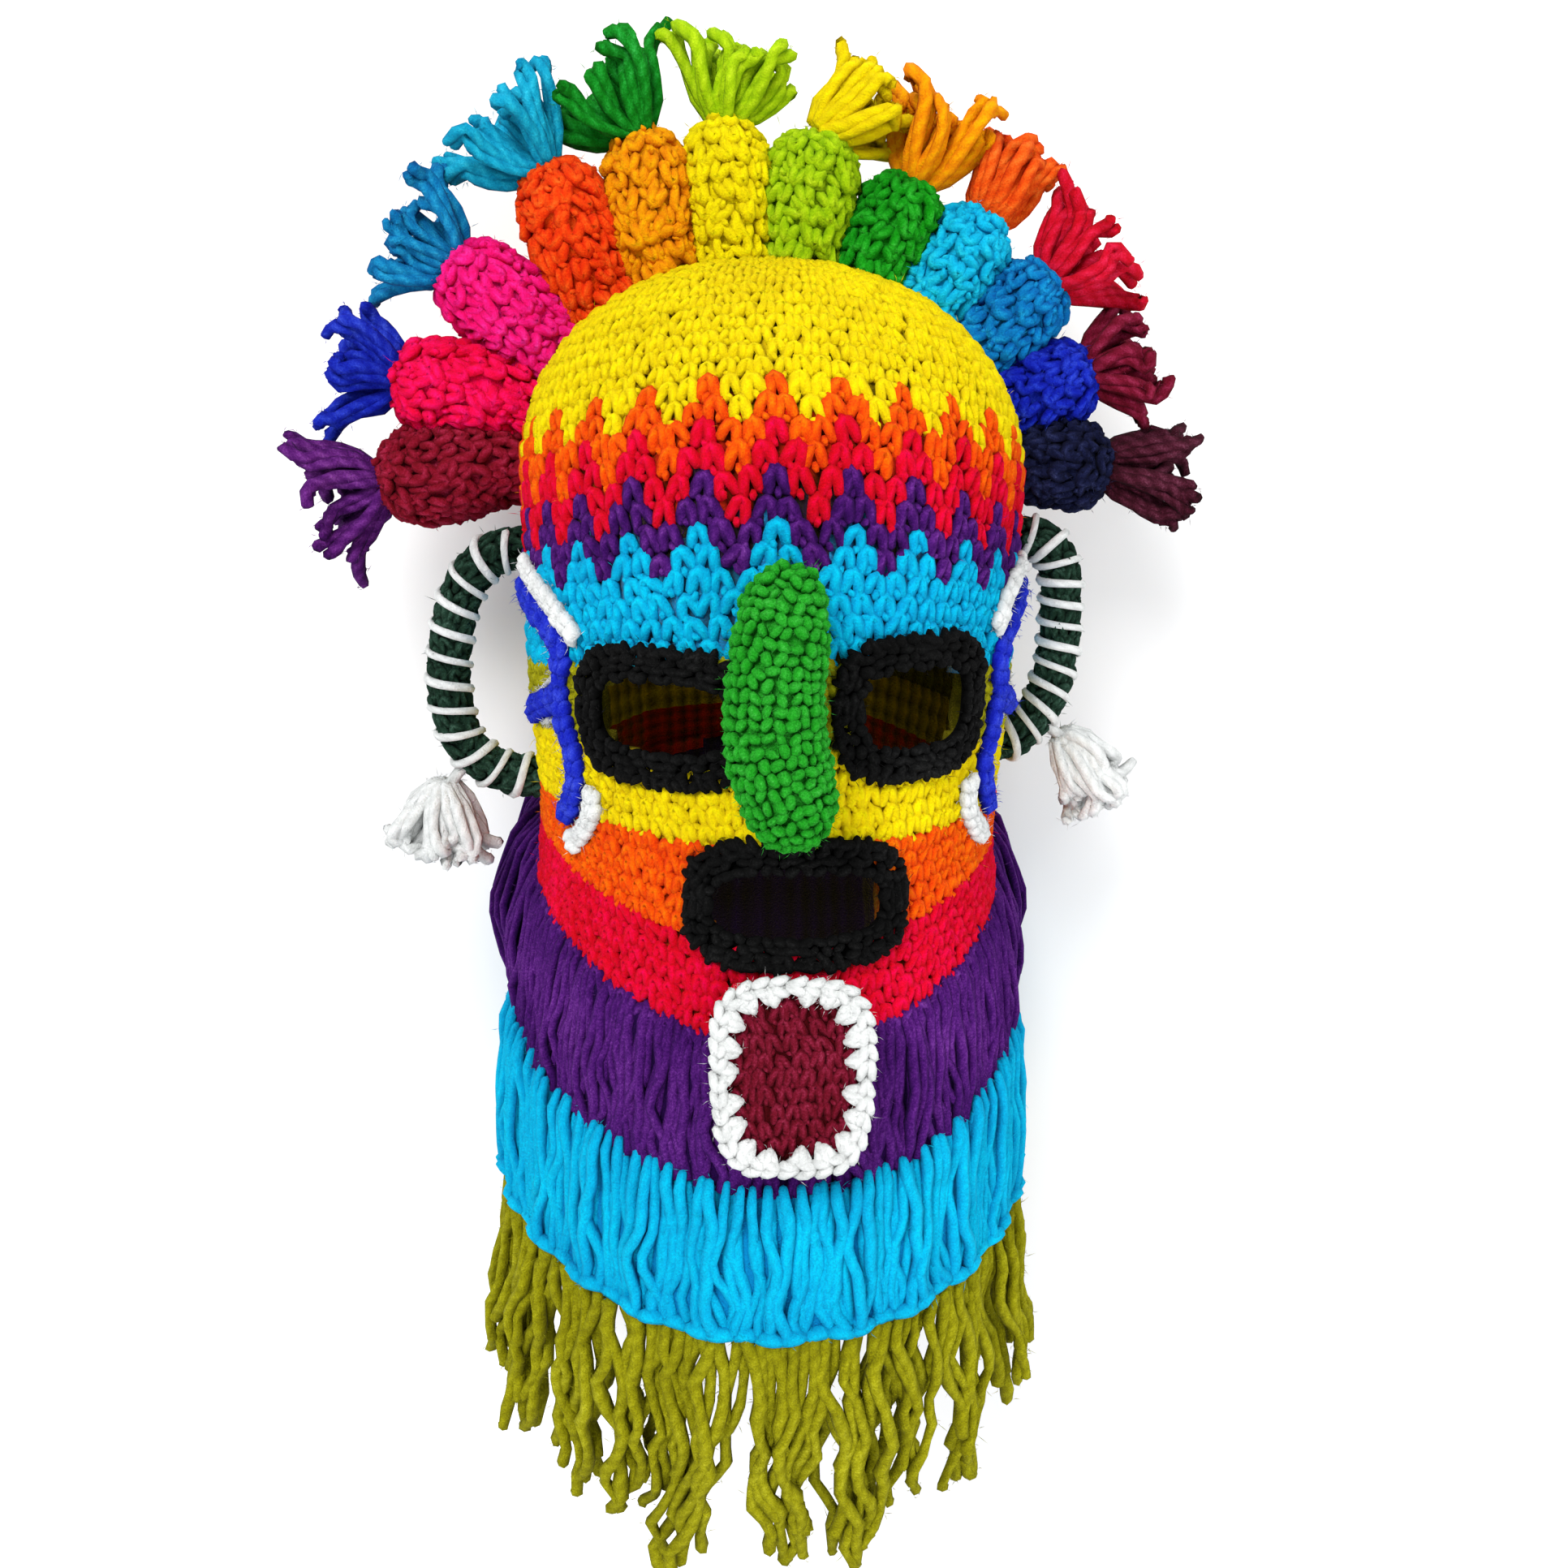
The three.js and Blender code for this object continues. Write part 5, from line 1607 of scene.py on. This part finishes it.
class CheekLines(bpy.types.Operator):
    """The blue and white crocheted lines down the sides of the face"""

    bl_idname = "dance_mask.cheek_lines"
    bl_label = "Cheek lines"

    def execute(self, context):
        rng = np.random.default_rng(700)
        for side, routes in BLUE_LINES.items():
            yarn = Yarn()
            for route in routes:
                surface_chain(yarn, route, rng, 10.2, 2.4, 4.4, 2.1)
            yarn.add_fibres(rng, FIBRES["blue line"])
            show_yarn(yarn, f"cheek_cord_blue_{side}", dyed("blue"))
        for where, route in WHITE_LINES.items():
            yarn = Yarn()
            surface_chain(yarn, route, rng, 9.2, 2.1, 4.2, 1.8)
            upper, side = where.split("_")
            way = -1 if side == "left" else 1
            trunk, branch = BLUE_LINES[side]
            edge = trunk[:4] + branch[1:] if upper == "upper" else branch[:0:-1] + trunk[4:]
            place, length = hood_route(edge)
            share = np.linspace(0.1, 0.98, round(length))
            across = way * 5.0 + 0.5 * np.sin(share * 23)
            line = place(across, share, 0.5 + rng.normal(0, 0.15, len(share)))
            out = unit(place(0.0, share, 2.0) - place(0.0, share, 0.0))
            yarn.add(line[None], out[None], (1.3 + 0.3 * np.sin(share * 31))[None])
            yarn.add_fibres(rng, FIBRES["white line"])
            show_yarn(yarn, f"cheek_cord_white_{where}", dyed("white"))
        return {"FINISHED"}


def area_light(name, place, size, power):
    """A round lamp that points at the mask."""
    light = bpy.data.lights.new(name, "AREA")
    light.shape = "DISK"
    light.size = size
    light.energy = power
    lamp = in_scene(name, light)
    lamp.location = place
    lamp.rotation_mode = "QUATERNION"
    way = Vector(LAMP_TARGET) - Vector(place)
    lamp.rotation_quaternion = way.to_track_quat("-Z", "Y")


class Stage(bpy.types.Operator):
    """Pale floor, soft studio light and the camera"""

    bl_idname = "dance_mask.stage"
    bl_label = "Studio"

    def execute(self, context):
        bm = bmesh.new()
        bmesh.ops.create_grid(bm, x_segments=1, y_segments=1, size=FLOOR_HALF_SIZE)
        mesh = finished_mesh(bm, "floor")
        floor = in_scene("floor", mesh)
        paper = bpy.data.materials.new("studio_paper")
        paper.use_nodes = True
        wires = Wires(paper.node_tree)
        shader = wires.tree.nodes["Principled BSDF"]
        wires.feed(shader, {"Base Color": FLOOR_COLOUR, "Roughness": 0.9})
        mesh.materials.append(paper)
        world = bpy.data.worlds.new("studio")
        context.scene.world = world
        world.use_nodes = True
        wires = Wires(world.node_tree)
        wires.feed(wires.tree.nodes["Background"], {0: AIR_COLOUR, 1: AIR_STRENGTH})
        for lamp in LAMPS:
            area_light(*lamp)
        flat, rise = math.cos(CAMERA_TILT), math.sin(CAMERA_TILT)
        back = np.array([-math.sin(CAMERA_SIDE) * flat, rise, math.cos(CAMERA_SIDE) * flat])
        right = unit(np.cross([0, 1, 0], back))
        up = np.cross(back, right)
        c, s = math.cos(CAMERA_ROLL), math.sin(CAMERA_ROLL)
        right, up = right * c + up * s, up * c - right * s
        place = in_frame(np.array(CAMERA_TARGET) + back * CAMERA_DISTANCE)
        data = bpy.data.cameras.new("camera")
        data.sensor_width = SENSOR_WIDTH
        data.lens = SENSOR_WIDTH * FOCAL_LENGTH / PICTURE_WIDTH
        data.clip_start, data.clip_end = 0.01, 20
        camera = in_scene("camera", data)
        turned = Matrix((right, up, back)).transposed().to_4x4()
        camera.matrix_world = Matrix.Translation(Vector(place)) @ turned
        context.scene.camera = camera
        context.scene.view_settings.view_transform = "Standard"
        return {"FINISHED"}


class DANCE_MASK_PT_panel(bpy.types.Panel):
    """Sizes, colours and steps of the mask"""

    bl_label = "Dance Mask"
    bl_space_type = "VIEW_3D"
    bl_region_type = "UI"
    bl_category = "Dance Mask"

    def draw(self, context):
        for step in STEPS:
            self.layout.operator(step.bl_idname)
        for group in (context.scene.mask_sizes, context.scene.mask_colours):
            column = self.layout.column(align=True)
            for name in group.__annotations__:
                column.prop(group, name)


STEPS = [
    HoodFabric,
    HoodStitches,
    Rims,
    Nose,
    Horns,
    Tassels,
    PurpleLoops,
    TurquoiseLoops,
    Fringe,
    Tongue,
    Ears,
    CheekLines,
    Stage,
]
CLASSES = [MaskColours, MaskSizes, *STEPS, DANCE_MASK_PT_panel]


def register():
    for cls in CLASSES:
        bpy.utils.register_class(cls)
    bpy.types.Scene.mask_sizes = PointerProperty(type=MaskSizes)
    bpy.types.Scene.mask_colours = PointerProperty(type=MaskColours)


def unregister():
    del bpy.types.Scene.mask_colours
    del bpy.types.Scene.mask_sizes
    for cls in reversed(CLASSES):
        bpy.utils.unregister_class(cls)


def main():
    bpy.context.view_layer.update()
    register()
    for step in STEPS:
        group, name = step.bl_idname.split(".")
        getattr(getattr(bpy.ops, group), name)()


if __name__ == "__main__":
    main()
